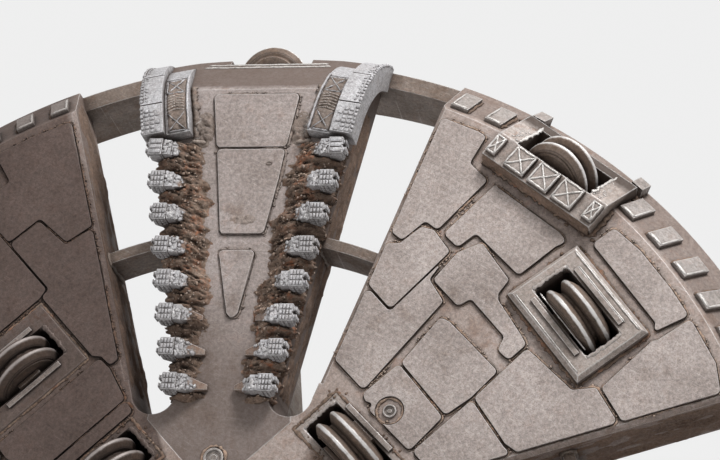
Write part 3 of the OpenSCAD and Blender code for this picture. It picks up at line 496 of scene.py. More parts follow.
soil = {"laneShare": 0, "scratch": 0.0, "metal": 0.0, "roughness": 0.85, "bump": 1.0}  # no wear lines
looks = {
    "plateSteel": {"light": tone(178, 167, 162), "dark": tone(142, 130, 124), "mudShare": 0.4,
                   "rustShare": 0.15, "leftShadeAndGrime": 0.95, "edgeWearAndHighlightShare": 0.55, "edgeWidth": 0.006,
                   "speckle": 0.65},
    "spokeSteel": {"light": tone(170, 159, 155), "dark": tone(140, 128, 122), "mudShare": 0.6,
                   "hubGrime": 0.6, "deepShadeAndGrime": 0.8, "edgeWearAndHighlightShare": 0.5, "dirtAndShadeShare": 0.45, "dirtAndShadeReach": 0.07},
    "panelSteel": {"light": tone(176, 162, 155), "dark": tone(148, 132, 123), "mud": tone(132, 108, 94),
                   "mudShare": 0.6, "mudFrom": 0.53, "rustShare": 0.5, "leftShadeAndGrime": 0.85, "deepShadeAndGrime": 0.45},
    "padSteel": {"light": tone(172, 165, 161), "dark": tone(138, 129, 123), "leftShadeAndGrime": 0.6,
                 "edgeWearAndHighlightShare": 0.8, "dirtAndShadeReach": 0.06},
    "spokeSoil": dict(soil, light=tone(164, 151, 143), dark=tone(124, 108, 98), mud=tone(104, 84, 70),
                      mudShare=0.6, mudSize=14.0, dirtAndShadeReach=0.02, edgeWearAndHighlightShare=0.1, hubGrime=0.5),
    "grooveSoil": dict(soil, light=tone(190, 166, 147), dark=tone(140, 112, 92), rust=tone(170, 118, 82),
                       rustShare=0.8, mud=tone(98, 74, 58), mudSize=12.0, mudShare=0.7, dirtAndShadeReach=0.02,
                       roughness=0.9, edgeWearAndHighlightShare=0.3, leftShadeAndGrime=0.8),
    "rimSteel": {"light": tone(138, 124, 114), "dark": tone(98, 84, 74), "mudShare": 0.8, "mudFrom": 0.5},
    "housingSteel": {"light": tone(176, 166, 160), "dark": tone(140, 127, 118), "mudShare": 0.65,
                     "mudFrom": 0.53, "rustShare": 0.55, "edgeWearAndHighlightShare": 0.9, "edgeWidth": 0.012,
                     "leftShadeAndGrime": 0.9, "deepShadeAndGrime": 0.9, "shadeAndGrime": tone(62, 49, 41)},
    "hardfacing": {"light": tone(204, 203, 206), "dark": tone(158, 155, 155), "spot": tone(112, 106, 103),
                   "mudShare": 0.3, "rustShare": 0.2, "laneShare": 0.1, "scratch": 0.0, "metal": 0.3,
                   "roughness": 0.55, "speckle": 0.6, "dirtAndShadeReach": 0.05, "bump": 1.0, "edgeWidth": 0.005,
                   "tail": tone(142, 125, 113), "tailRust": tone(132, 103, 83), "tailDark": tone(80, 64, 54)},
    "wearBlock": {"light": tone(170, 160, 154), "dark": tone(130, 118, 110), "mudShare": 0.4,
                  "leftShadeAndGrime": 0.4, "edgeWearAndHighlightShare": 0.9, "dirtAndShadeReach": 0.06},
    "brightBead": {"light": tone(222, 218, 214), "dark": tone(186, 179, 173), "mudShare": 0.15,
                   "rustShare": 0.1, "laneShare": 0, "dirtAndShadeReach": 0.02, "dirtAndShadeShare": 0.4, "metal": 0.3,
                   "roughness": 0.45, "leftShadeAndGrime": 0.4},
    "muddyBead": {"light": tone(182, 170, 160), "dark": tone(136, 120, 108), "mudShare": 0.4, "laneShare": 0,
                  "dirtAndShadeReach": 0.02, "dirtAndShadeShare": 0.5, "metal": 0.1},
    "stripMud": {"light": tone(140, 127, 118), "dark": tone(104, 90, 80), "mudSize": 16.0, "laneShare": 0,
                 "dirtAndShadeReach": 0.03, "metal": 0.0, "roughness": 0.75, "bump": 1.0, "speckle": 0.6},
    "rustyWeld": dict(soil, light=tone(152, 130, 113), dark=tone(86, 67, 55), rust=tone(164, 96, 58),
                      rustShare=1.0, mud=tone(82, 61, 48), mottle=0.4, mudShare=0.8, mudSize=14.0,
                      mudFrom=0.5, dirtAndShadeReach=0.028, dirtAndShadeShare=0.97, dirtAndShade=tone(34, 23, 17), edgeWearAndHighlightShare=0.5,
                      edge=tone(206, 180, 156), edgeWidth=0.004, speckle=0.6),
    "cakedMud": dict(soil, light=tone(140, 117, 101), dark=tone(92, 73, 60), rust=tone(132, 88, 60),
                     mudShare=0.7, mudSize=14.0, edgeWearAndHighlightShare=0.3, edge=tone(180, 156, 138), dirtAndShadeReach=0.05,
                     leftShadeAndGrime=0.6, speckle=0.6),
    # dark tones: muddy steel, partly painted shade of the deep slots that the axles sit in
    "axleSteel": {"light": tone(104, 90, 80), "dark": tone(66, 53, 45), "mudShare": 0.8, "mudFrom": 0.46},
    "nozzleSteel": {"light": tone(170, 162, 156), "dark": tone(96, 84, 76), "dirtAndShadeReach": 0.03},
    "structureSteel": {"light": tone(142, 130, 120), "dark": tone(106, 94, 84), "laneShare": 0.1,
                       "mudShare": 0.6, "mudFrom": 0.53},
    "machinedSteel": {"light": tone(176, 172, 168), "dark": tone(144, 138, 132), "mudShare": 0.3,
                      "metal": 0.6, "roughness": 0.4},
}
steels = {name: wornSteel(name, changes) for name, changes in looks.items()}
for k, angle in enumerate(spokeAngles, 1):
    steels[f"scraperSteel_{k}"] = wornSteel(f"scraperSteel_{k}", looks["hardfacing"], spoke=angle)
print("materials made:", len(steels))

nodeSteels = {
    "centre_plate": "spokeSteel", "rim_ring": "rimSteel", "crossbars": "rimSteel",
    "gauge_buckets": "hardfacing", "spoke_plates": "spokeSteel", "panel_plates": "plateSteel",
    "cutter_housings": "housingSteel", "gauge_housings": "housingSteel", "wear_blocks": "wearBlock",
    "rim_pads": "padSteel", "cutter_axles": "axleSteel", "foam_nozzles": "nozzleSteel",
    "support_arms": "structureSteel", "drive_flange": "machinedSteel", "supply_pipe": "structureSteel",
    "mixing_bars": "structureSteel",
}
for k in range(1, 5):
    nodeSteels[f"spoke_{k}"] = "spokeSteel"
    nodeSteels[f"panel_{k}"] = "panelSteel"
    nodeSteels[f"scrapers_{k}"] = f"scraperSteel_{k}"

# Columns: name, angle round the head, radius, depth of the centre, tilt of the axle
cutters = [("centre_cutter_1", 0, 0.363, 0.04, 0), ("centre_cutter_2", 0, 0.121, 0.04, 0),
           ("centre_cutter_3", 180, 0.121, 0.04, 0), ("centre_cutter_4", 180, 0.363, 0.04, 0)]
for k in range(4):
    odd = k % 2 == 0
    cutters += [(f"inner_cutter_{k + 1}", (46, 135, 226, 315)[k], 1.075 if odd else 0.845, 0.04, 0),
                (f"middle_cutter_{k + 1}", (38.4, 135, 218.4, 315)[k], 2.48 if odd else 1.685, 0.04, 0),
                (f"gauge_cutter_{k + 1}", gaugeAngles[k], 3.01, 0.05, 34),
                (f"rim_cutter_{k + 1}", spokeAngles[k], 3.18, 0.33, 70)]


def cutterFrame(angle, radius, depth, tilt):  # Z along the axle, -Y out of the face
    return Matrix.Rotation(math.radians(90 - angle), 4, "Y") @ \
        Matrix.Translation((0, depth - head["depth"], radius)) @ Matrix.Rotation(math.radians(-tilt), 4, "X")


discLook = {"light": tone(130, 113, 101), "dark": tone(82, 68, 58), "mudShare": 0.85, "mudFrom": 0.48,
            "mudSize": 9.0, "laneShare": 0, "scratch": 0.0, "edgeWidth": 0.002, "metal": 0.15,
            "dirtAndShadeReach": 0.06, "leftShadeAndGrime": 0.7}
for name, *where in cutters:
    place = cutterFrame(*where)
    steels[name] = wornSteel("ring_" + name, discLook, (tuple(place.translation), tuple(place.col[2][:3])))
    nodeSteels[name] = name

for name, node in nodes.items():
    node.data.materials.clear()
    node.data.materials.append(steels[nodeSteels[name]])
print("nodes finished with materials")

# Scrapers: hardfaced squares on the heads, and the built-up weld that holds them
scraper = {"count": 8, "start": 1.086, "pitch": 0.206, "out": 0.05, "height": 0.126, "half": 0.05,
           "rows": 3, "columns": 4, "from": 0.008, "span": 0.074, "rowPitch": 0.031, "tileHeight": 0.005,
           "square": (0.0155, 0.026), "flute": (0.064, 0.026),
           "flankSquare": (0.018, 0.021), "flankFlute": (0.066, 0.05), "flankHeight": 0.004,
           "lobe": ((-0.004, -0.122, 0.023), (0.002, -0.1, 0.024), (0.002, -0.076, 0.024),
                    (-0.002, -0.05, 0.022)),
           "lobeWidth": 0.042, "lobeHeight": 0.013, "tipSquare": (0.026, 0.017, 0.005),
           "lumps": 26, "lumpFrom": 0.088, "lumpTo": 0.185, "lumpSize": (0.007, 0.015), "lumpSpread": 0.045}


def scraperTiles(pile, angle, side):
    s = scraper
    for k in range(s["count"]):
        z0 = s["start"] + k * s["pitch"]
        x0 = spokeHalf(z0) + s["out"]

        def spot(x, y, z):
            return fromFace(angle, (side * (x0 + x), y, z0 + z))

        def way(x, y, z):
            return turned(angle, (side * x, y, z))

        fluted = k == s["count"] - 1  # the outermost one has long flutes in place of squares
        columns = 1 if fluted else s["columns"]
        size = s["flute"] if fluted else s["square"]
        for row in range(s["rows"]):
            for column in range(columns):
                x = -s["from"] - (column + 0.5) * s["span"] / columns
                tile(pile, spot(x, -s["height"], (row - 1) * s["rowPitch"]), way(1, 0, 0), way(0, 0, 1),
                     way(0, -1, 0), *size, s["tileHeight"] * rng.uniform(0.7, 1.3))
        size = s["flankFlute"] if fluted else s["flankSquare"]
        flank = [(-0.02 - 0.023 * column, -0.104 + 0.026 * row) for row in range(3) for column in range(3)]
        for end in (-1, 1):
            for x, y in [(-0.043, -0.08)] if fluted else flank:
                tile(pile, spot(x, y, end * s["half"]), way(1, 0, 0), way(0, 1, 0), way(0, 0, end),
                     *size, s["flankHeight"])
            bead(pile, [spot(x, y, end * z) for x, y, z in s["lobe"]], way(1, -0.35, 0),
                 s["lobeWidth"], s["lobeHeight"], 0.12, sides=9)
            for row in range(3):
                tile(pile, spot(0.011, -0.108 + 0.024 * row, end * 0.023), way(0, 0, 1), way(0, 1, 0),
                     way(1, 0, 0), *s["tipSquare"])


def tailLumps(pile, number, angle, side):  # lumps of bright weld behind the squares
    s = scraper
    body = nodes[f"scrapers_{number}"].data
    tree = BVHTree.FromPolygons([v.co[:] for v in body.vertices], [p.vertices[:] for p in body.polygons])
    for k in range(s["count"]):
        z0 = s["start"] + k * s["pitch"]
        for _ in range(s["lumps"]):
            back = s["lumpFrom"] + (s["lumpTo"] - s["lumpFrom"]) * rng.random() ** 1.5
            z = z0 + rng.uniform(-s["lumpSpread"], s["lumpSpread"])
            start = fromFace(angle, (side * (spokeHalf(z0) + s["out"] - back), -0.3, z))
            place, up = tree.ray_cast(Vector(start), Vector(backward))[:2]
            if place is not None:
                crumbs(pile, [place], up, [rng.uniform(*s["lumpSize"])], 0.4, 0.3)


saddle = {"step": 0.007, "from": 1.0, "to": 2.585, "reach": 0.272, "share": 0.6, "bank": 0.062, "bark": 0.027,
          "fine": 0.016, "pits": 0.005, "crumbs": 700, "crumbSize": (0.003, 0.009)}


def saddleProfile(step):  # across the edge of a spoke: distance in, depth, and the way out of the surface
    face = [(-u, 0.0, 0.0, -1.0) for u in np.arange(0.318, 0.026, -step)]
    corner = [(-0.018, 0.006, 0.4, -0.92), (-0.01, 0.014, 0.7, -0.7), (-0.003, 0.022, 0.92, -0.4)]
    wall = [(0.0, y, 1.0, 0.0) for y in np.arange(0.03, 0.21, 0.009)]
    return np.array(face + corner + wall)


def saddleHeight(z, inward, y, seed):  # the weld's height over the spoke, and where it fades out
    s, w = scraper, saddle
    run, flat = inward - y, z * 0
    bend = 0.016 * waves(run / 0.09, z / 0.05, seed + 5, 1)
    near = (z + bend - s["start"]) / s["pitch"]
    off = np.abs((near - np.clip(np.round(near), 0, s["count"] - 1)) * s["pitch"])  # from the next scraper
    limit = np.minimum(w["reach"], w["share"] * spokeHalf(z)) + 0.032 * waves(z / 0.07, flat, seed, 1)
    limit = limit + 0.022 * waves(run / 0.05, z / 0.02, seed + 33, 2)
    fade = np.clip((limit - inward) / 0.12, 0, 1)
    fade = fade * fade * (3 - 2 * fade) * np.clip((z - w["from"]) / 0.03, 0, 1)
    fade = fade * np.clip((0.16 + 0.03 * waves(z / 0.05, flat + 3, seed, 1) - y) / 0.07, 0, 1)
    # Banks between the scrapers and over their tails
    behind = np.clip((inward - 0.07) / 0.06, 0, 1)
    between = np.exp(-((off - 0.055) / 0.036) ** 2) * np.where(inward > 0.02, 0.85, 0.5)
    over = 0.72 + 0.36 * np.exp(-(off / 0.05) ** 2)
    bank = w["bank"] * (between + (over - between) * behind)
    # Layers and splinters along the weld's runs
    slope = z + 0.25 * run
    bark = 1 - np.abs(waves(run / 0.085, slope / 0.024, seed + 9, 2))
    splinters = 1 - np.abs(waves(run / 0.035, slope / 0.01, seed + 15, 2))
    pits = waves(run / 0.014, z / 0.012, seed + 21, 1)
    layers = w["bark"] * (bark - 0.5) + w["fine"] * (splinters - 0.5) + w["pits"] * pits
    return np.clip(fade * (0.004 + bank) + np.sqrt(fade) * layers - 0.003, -0.006, 0.1), fade


def weldSaddles(pile, lumps, angle, side, seed):  # layered weld between the scrapers and over their tails
    w = saddle
    profile = saddleProfile(w["step"])
    z, u = np.meshgrid(np.arange(w["from"], w["to"], w["step"]), profile[:, 0], indexing="ij")
    y, nu, ny = (np.broadcast_to(profile[:, k], z.shape) for k in (1, 2, 3))
    height, fade = saddleHeight(z, -u, y, seed)
    grid = fromFace(angle, np.stack([side * (spokeHalf(z) + u), y, z], -1))
    normals = unit(turned(angle, np.stack([side * nu * 0.984, ny, -0.18 * nu], -1)))
    patch(pile, grid, normals, height)
    rows, columns = z.shape
    i, j = rng.integers(4, rows - 4, w["crumbs"]), rng.integers(3, columns - 8, w["crumbs"])
    keep = fade[i, j] > 0.12
    i, j = i[keep], j[keep]
    crumbs(lumps, (grid + normals * (height[..., None] - 0.001))[i, j], normals[i, j],
           rng.uniform(*w["crumbSize"], len(i)), 0.7, 0.35)


for number, angle in enumerate(spokeAngles, 1):
    tiles, saddles, lumps = Pile(), Pile(), Pile()
    for side in (-1, 1):
        scraperTiles(tiles, angle, side)
        tailLumps(tiles, number, angle, side)
        weldSaddles(saddles, lumps, angle, side, 40 * number + 7 * side)
    tiles.build(f"scraperTiles_{number}", steels["hardfacing"], "hardfacing", smooth=False)
    saddles.build(f"weldSaddles_{number}", steels["rustyWeld"], "spoke_steel", smooth=False)
    lumps.build(f"saddleLumps_{number}", steels["grooveSoil"], "spoke_steel", smooth=False)
print("scrapers dressed")

# Gauge buckets: knobs and squares on the lips, framed crosses on the inner strips
bucket = {"start": 2.605, "straight": 0.115, "radius": 0.56, "height": 0.14, "step": 0.045,
          "lip": (-0.052, 0.079), "strip": (-0.2, -0.056), "seams": (8.7, 35), "end": 76, "seamGap": 0.012,
          "knobPitch": 0.0265, "knob": 0.012, "square": (0.025, 0.018), "squareHeight": 0.005,
          "rowPitch": 0.027, "columnPitch": 0.032, "skinStep": 0.008, "edge": (0.015, 0.012),
          "cells": 3, "bar": (0.01, 0.0125), "gapMud": (0.05, 0.02)}


def onBucket(angle, side, x, run, radius):  # a place by its distance along the lip's curve, and the way out
    b = bucket
    t = max(0.0, run - b["straight"]) / radius
    y = b["radius"] - b["height"] - radius * math.cos(t)
    z = min(run, b["straight"]) + radius * math.sin(t)
    ca, sa = math.cos(spokeLean), math.sin(spokeLean)
    across = (side * (spokeHalf(b["start"]) + x * ca + z * sa), y, b["start"] + z * ca - x * sa)
    out = (side * math.sin(t) * sa, -math.cos(t), math.sin(t) * ca)
    ahead = (side * math.cos(t) * sa, math.sin(t), math.cos(t) * ca)
    wide = (side * ca, 0, -sa)
    return (fromFace(angle, across),) + tuple(turned(angle, w) for w in (out, ahead, wide))


def runTo(degrees, radius):  # the distance along the curve to an angle of it
    return bucket["straight"] + math.radians(degrees) * radius


def bucketBead(pile, angle, side, spots, radius, size, uneven, sides=7):  # along places of x and run
    places = [onBucket(angle, side, x, run, radius) for x, run in spots]
    bead(pile, [p[0] for p in places], [p[1] for p in places], *size, uneven, sides=sides)


def lipTrim(bright, angle, side):  # knobs along the lip's edge, and squares on its lowest plate
    b = bucket
    r, edge = b["radius"], b["lip"][1]
    seams = [runTo(degrees, r) for degrees in b["seams"]]
    run = 0.014
    while run < runTo(b["end"], r):
        if min(abs(run - seam) for seam in seams) > b["seamGap"]:
            place, out, _, wide = onBucket(angle, side, edge - 0.006, run, r)
            crumbs(bright, [place], out + 0.6 * wide, [b["knob"] * rng.uniform(0.85, 1.2)], 0.8, 0.12)
            if run > seams[0] and rng.random() < 0.75:
                place, out = onBucket(angle, side, edge - 0.032 - 0.006 * rng.random(), run, r)[:2]
                crumbs(bright, [place], out, [b["knob"] * rng.uniform(0.5, 0.9)], 0.5, 0.25)
        run += b["knobPitch"]
    for row in range(int((seams[0] - b["seamGap"]) / b["rowPitch"])):
        for column in range(3 - row % 2):
            x, run = edge - 0.036 - b["columnPitch"] * column, 0.016 + b["rowPitch"] * row
            place, out, ahead, wide = onBucket(angle, side, x, run, r)
            tile(bright, place, wide, ahead, out, *b["square"], b["squareHeight"] * rng.uniform(0.6, 1.4))


def stripTrim(bright, muddy, mud, angle, side):  # a rough skin, a bright edge, and crosses in three cells
    b = bucket
    low = b["radius"] - b["step"]
    left, right = b["strip"]
    seam = runTo(b["seams"][1], low)
    runs = np.arange(0.012, seam - 0.006, b["skinStep"])
    xs = np.arange(left + 0.012, right - 0.006, b["skinStep"])
    spots = [[onBucket(angle, side, x, run, low)[:2] for x in xs] for run in runs]
    grid, ups = (np.array([[spot[k] for spot in row] for row in spots]) for k in (0, 1))
    run, x = np.meshgrid(runs, xs, indexing="ij")
    rim = inset(0.012, run - runs[0], runs[-1] - run, x - xs[0], xs[-1] - x)
    skin = 0.005 + 0.004 * waves(x / 0.03, run / 0.022, int(angle) + side + 5)
    patch(mud, grid, ups, np.clip(skin, 0.001, 0.012) * rim - 0.002 * (1 - rim), sink=0.006)
    edge = [(left + 0.006, run) for run in np.arange(0.008, seam + 0.03, 0.014)]
    bucketBead(bright, angle, side, edge, low, b["edge"], 0.25)
    tall = (seam - 0.03) / b["cells"]
    x0, x1 = left + 0.024, right - 0.016
    middle = (x0 + x1) / 2
    for cell in range(b["cells"]):
        q0, q1 = 0.014 + cell * tall, 0.014 + (cell + 1) * tall - 0.012
        crossed = [((x0, q0), (x1, q1)), ((x1, q0), (x0, q1)), ((x0, q0), (x1, q0))]
        if cell == b["cells"] - 1:
            lines = crossed + [((x0, q1), (x1, q1)), ((x1, q0), (x1, q1))]
        elif cell == 0:
            lines = crossed
        else:
            marks = np.linspace(q0, q1, 7)[:-1]
            lines = [((x0, mark), (middle, mark + 0.014)) for mark in marks]
            lines += [((middle, mark + 0.014), (x1, mark)) for mark in marks]
        for (xa, qa), (xb, qb) in lines:
            spots = [(xa + (xb - xa) * t, qa + (qb - qa) * t) for t in np.linspace(0, 1, 12)]
            bucketBead(muddy if cell == 1 else bright, angle, side, spots, low, b["bar"], 0.35, sides=5)


def mound(pile, angle, side, place, form, seed):  # an oval heap on the face
    dx, dz = np.meshgrid(*(np.arange(-half, half + 0.001, form["step"]) for half in form["half"]))
    dome = np.clip(form["top"] - (dx / form["oval"][0]) ** 2 - (dz / form["oval"][1]) ** 2, 0, 1)
    level, wave, under = form["height"]
    high = dome * (level + wave * waves(dx / form["lumps"][0], dz / form["lumps"][1], seed)) - under
    x, y, z = place
    patch(pile, fromFace(angle, np.stack([side * (x + dx), dx * 0 + y, z + dz], -1)), outward, high,
          sink=form["sink"])


bucketMound = {"half": (0.075, 0.13), "oval": (0.07, 0.12), "step": 0.006, "top": 1.15,
               "lumps": (0.03, 0.025), "height": (0.018, 0.013, 0.003), "sink": 0.006}


def bucketSoil(muddy, mud, angle, side):  # mud in the gap beside the strip, and a mound of it on the face
    beside = [(side * (spokeHalf(z) - 0.222 + rng.normal() * 0.003),
               0.001 + max(0, z - head["spokeFace"]) * head["spokeBevel"], z)
              for z in np.arange(2.63, 3.0, 0.012)]
    bead(mud, fromFace(angle, beside), outward, *bucket["gapMud"], 0.4)
    mound(mud, angle, side, (spokeHalf(2.69) - 0.265, 0, 2.69), bucketMound, int(angle) + 11 * side + 70)
    bar = [(side * (spokeHalf(2.61) - 0.19 - 0.012 * k), -0.004, 2.616 - 0.001 * k) for k in range(8)]
    bead(muddy, fromFace(angle, bar), outward, 0.024, 0.016, 0.25)


bright, muddy, mud = Pile(), Pile(), Pile()
for angle in spokeAngles:
    for side in (-1, 1):
        lipTrim(bright, angle, side)
        stripTrim(bright, muddy, mud, angle, side)
        bucketSoil(muddy, mud, angle, side)
mud.build("bucketMud", steels["stripMud"], "wear_block")
bright.build("bucketKnobs", steels["hardfacing"], "hardfacing")
muddy.build("bucketCrosses", steels["muddyBead"], "wear_block")
print("gauge buckets dressed")

# Wear blocks: a frame and a cross of bright weld on each, and on the narrow end blocks
block = {"side": 0.14, "pitch": 0.17, "radius": 2.8925, "front": -0.124, "endOff": 0.345, "inset": 0.007,
         "endWidth": 0.066, "endLength": 0.12, "bead": 0.012, "height": 0.006, "waver": 0.0012}
crosses = Pile()
for angle in gaugeAngles:
    places = [(k * block["pitch"], block["side"], block["side"]) for k in (-1, 0, 1)]
    places += [(k * block["endOff"], block["endWidth"], block["endLength"]) for k in (-1, 1)]
    for x, wide, tall in places:
        corners = box(wide / 2 - block["inset"], tall / 2 - block["inset"])
        pairs = [(k, (k + 1) % 4) for k in range(4)] + [(0, 2), (1, 3)]
        for (x0, z0), (x1, z1) in [(corners[a], corners[b]) for a, b in pairs]:
            path = [fromFace(angle, (x + x0 + (x1 - x0) * t + rng.normal() * block["waver"], block["front"],
                                     block["radius"] + z0 + (z1 - z0) * t + rng.normal() * block["waver"]))
                    for t in np.linspace(0, 1, 9)]
            bead(crosses, path, outward, block["bead"], block["height"], 0.22)
crosses.build("blockCrosses", steels["brightBead"], "wear_block")
print("wear blocks dressed")


# Wear plates: crumbling rusty weld and mud in the grooves round them
def outlines(name, level):  # closed outlines of a node's flat faces at a height along Y
    mesh = nodes[name].data
    points, index, used = [], {}, {}
    ids = []
    for v in mesh.vertices:
        key = (round(v.co.x, 4), round(v.co.y, 4), round(v.co.z, 4))
        if key not in index:
            index[key] = len(points)
            points.append(key)
        ids.append(index[key])
    for face in mesh.polygons:
        corners = [ids[k] for k in face.vertices]
        if all(abs(points[k][1] - level) < 5e-4 for k in corners):
            for a, b in zip(corners, corners[1:] + corners[:1]):
                used[frozenset((a, b))] = used.get(frozenset((a, b)), 0) + 1
    near = {}
    for pair, times in used.items():
        if times == 1 and len(pair) == 2:
            a, b = pair
            near.setdefault(a, []).append(b)
            near.setdefault(b, []).append(a)
    loops, seen = [], set()
    for start in near:
        if start in seen:
            continue
        loop, last, now = [start], None, start
        seen.add(start)
        while True:
            ahead = [k for k in near[now] if k != last and (k not in seen or k == start)]
            if not ahead or ahead[0] == start:
                break
            last, now = now, ahead[0]
            seen.add(now)
            loop.append(now)
        if len(loop) > 3:
            loops.append(np.array([points[k] for k in loop]))
    return loops


groove = {"step": 0.012, "off": 0.007, "width": 0.02, "height": 0.0125, "crumbEvery": 0.011}


def groovesOf(pile, loose, name, top, seed, lit=(0.55, 0.83)):  # fuller on the sides that face up
    for number, loop in enumerate(outlines(name, top)):
        path = evenly(loop, groove["step"], closed=True)
        nxt = np.roll(path, -1, 0)
        turn = np.sum(path[:, 0] * nxt[:, 2] - nxt[:, 0] * path[:, 2])
        along = unit(nxt - np.roll(path, 1, 0))
        out = np.stack([along[:, 2], along[:, 1] * 0, -along[:, 0]], -1) * (1 if turn > 0 else -1)
        path = path + out * groove["off"]
        path[:, 1] = -head["depth"]
        facing = np.clip(0.62 + 0.5 * (out[:, 0] * lit[0] + out[:, 2] * lit[1]), 0.15, 1)
        share = np.clip((0.5 + 1.1 * grain(path / 0.11, seed + number)) * facing, 0.08, 1)
        bead(pile, path, outward, groove["width"] * (0.4 + 0.7 * share), groove["height"] * share,
             0.5, closed=True, sides=5)
        count = int(len(path) * groove["step"] / groove["crumbEvery"])
        pick = rng.integers(0, len(path), count)
        pick = pick[share[pick] > 0.33]
        places = path[pick] + out[pick] * rng.uniform(-0.003, 0.014, (len(pick), 1))
        places[:, 1] -= rng.uniform(0, 0.009, len(pick))
        crumbs(loose, places, outward, rng.uniform(0.0035, 0.008, len(pick)))


weld, loose, spokeWeld = Pile(), Pile(), Pile()
plate = {"height": 0.016, "patchAt": (0.015, 2.11), "pitAt": (0.127, 2.467), "pit": (0.016, 0.01)}
plateMound = {"half": (0.105, 0.035), "oval": (0.1, 0.034), "step": 0.005, "top": 1.1,
              "lumps": (0.022, 0.014), "height": (0.005, 0.007, 0.002), "sink": 0.004}
groovesOf(weld, loose, "panel_plates", -head["depth"] - plate["height"], 100)
groovesOf(spokeWeld, spokeWeld, "spoke_plates", -head["depth"] - plate["height"], 300)
for angle in spokeAngles:  # a rough patch on the second plate, and a pit in it
    x, z = plate["patchAt"]
    mound(spokeWeld, angle, 1, (x, -plate["height"], z), plateMound, 800 + angle)
    (x, z), (wide, tall) = plate["pitAt"], plate["pit"]
    ring = [(x + wide * math.cos(t), -plate["height"] - 0.0005, z + tall * math.sin(t))
            for t in np.linspace(0, 2 * math.pi, 14)[:-1]]
    bead(spokeWeld, fromFace(angle, ring), outward, 0.008, 0.004, 0.5, closed=True, sides=5)
weld.build("grooveWeld", steels["grooveSoil"], "panel_steel", smooth=False)
loose.build("grooveCrumbs", steels["grooveSoil"], "panel_steel", smooth=False)
spokeWeld.build("spokeWeld", steels["spokeSoil"], "spoke_steel", smooth=False)
print("grooves filled")

# Housings: mud and weld along their feet, and mud on the gauge housings' inner walls
# Columns: angle round the head, radius, length, width, height of the frame
faceHousings = [(46, 1.075, 0.58, 0.312, 0), (38.4, 2.48, 0.65, 0.47, 0.06), (135, 0.845, 0.58, 0.312, 0),
                (135, 1.685, 0.65, 0.47, 0.01), (226, 1.075, 0.58, 0.312, 0), (218.4, 2.48, 0.65, 0.47, 0.06),
                (315, 0.845, 0.58, 0.312, 0), (315, 1.685, 0.65, 0.47, 0.01)]
footBead = {"width": 0.034, "height": 0.02}
gauge = {"in": 2.81, "out": 3.0, "half": 0.385, "height": 0.1, "mud": (0.006, 0.009, 0.022), "mudRise": 0.045,
         "footWidth": 0.05, "footHeight": 0.03}
feet, caked = Pile(), Pile()
for angle, radius, length, width, tall in faceHousings:
    corners = [(x, 0, radius + z) for x, z in box(length / 2, width / 2)]
    path = evenly(fromFace(angle, corners), 0.014, closed=True)
    share = 0.45 + 0.55 * np.clip(grain(path / 0.09, 77), -0.6, 1)
    size = 1.0 if tall > 0.02 else 0.45
    bead(feet, path, outward, footBead["width"] * size * (0.7 + share), footBead["height"] * size * share,
         0.4, closed=True)
    strewn(caked, path, 90, 0.012, 0.005, 0.012)
for number, angle in enumerate(gaugeAngles):
    half, low = gauge["half"], gauge["in"]
    x, y = np.meshgrid(np.arange(-half + 0.004, half - 0.003, 0.012),
                       np.arange(-gauge["height"] + 0.006, 0.001, 0.01))
    level, wave, bank = gauge["mud"]
    rise = np.clip((y + gauge["mudRise"]) / gauge["mudRise"], 0, 1) ** 2
    height = level + wave * waves(x / 0.09, y / 0.03, 500 + number) + bank * rise
    grid = fromFace(angle, np.stack([x, y, x * 0 + low], -1))
    patch(caked, grid, turned(angle, (0, 0, -1.0)), np.clip(height, 0.001, 0.05))
    corners = [(x, 0, z) for x, z in ((-half, gauge["out"]), (-half, low), (half, low), (half, gauge["out"]))]
    path = evenly(fromFace(angle, corners), 0.015)
    share = 0.5 + 0.5 * np.clip(grain(path / 0.1, 91 + number), -0.7, 1)
    bead(feet, path, outward, gauge["footWidth"] * (0.7 + 0.5 * share), gauge["footHeight"] * share, 0.35)
    strewn(caked, path, 120, 0.018, 0.006, 0.014)
feet.build("housingFeet", steels["rustyWeld"], "housing")
caked.build("housingMud", steels["cakedMud"], "housing")
print("housings dressed")

# Bright strips on the pads as a painted highlight on their lit edges, dark mud beads beside them as a painted
# shadow, bright lines along the spokes' tops, and mud crumbs on the bevel beside the gauge housings
pad = {"rows": [(1, 0.141, 0.225), (-1, 0.081, 0.230)], "first": 3.062, "last": 3.215, "half": 0.054,
       "height": 0.024, "limit": 22, "width": 0.022, "bead": 0.007, "mud": (0.024, 0.013)}
ledge = {"out": 0.36, "radius": 3.225, "spread": (0.035, 0.022), "crumbs": 60, "size": (0.006, 0.016)}
spokeLines = {"rows": ((3.206, 0.4), (3.234, 0.38)), "bead": (0.015, 0.008), "out": (0, -0.797, 0.604)}
slant = math.atan(head["bevelDepth"] / (head["rim"] - head["face"]))


def onBevel(angle, x, radius, height):  # a place on the panels' bevel, at a height over it
    z = math.sqrt(radius * radius - x * x)
    return fromFace(angle, (x, bevelAt(radius) - height * math.cos(slant), z + height * math.sin(slant)))


def bevelOut(angle):
    return turned(angle, (0, -math.cos(slant), math.sin(slant)))


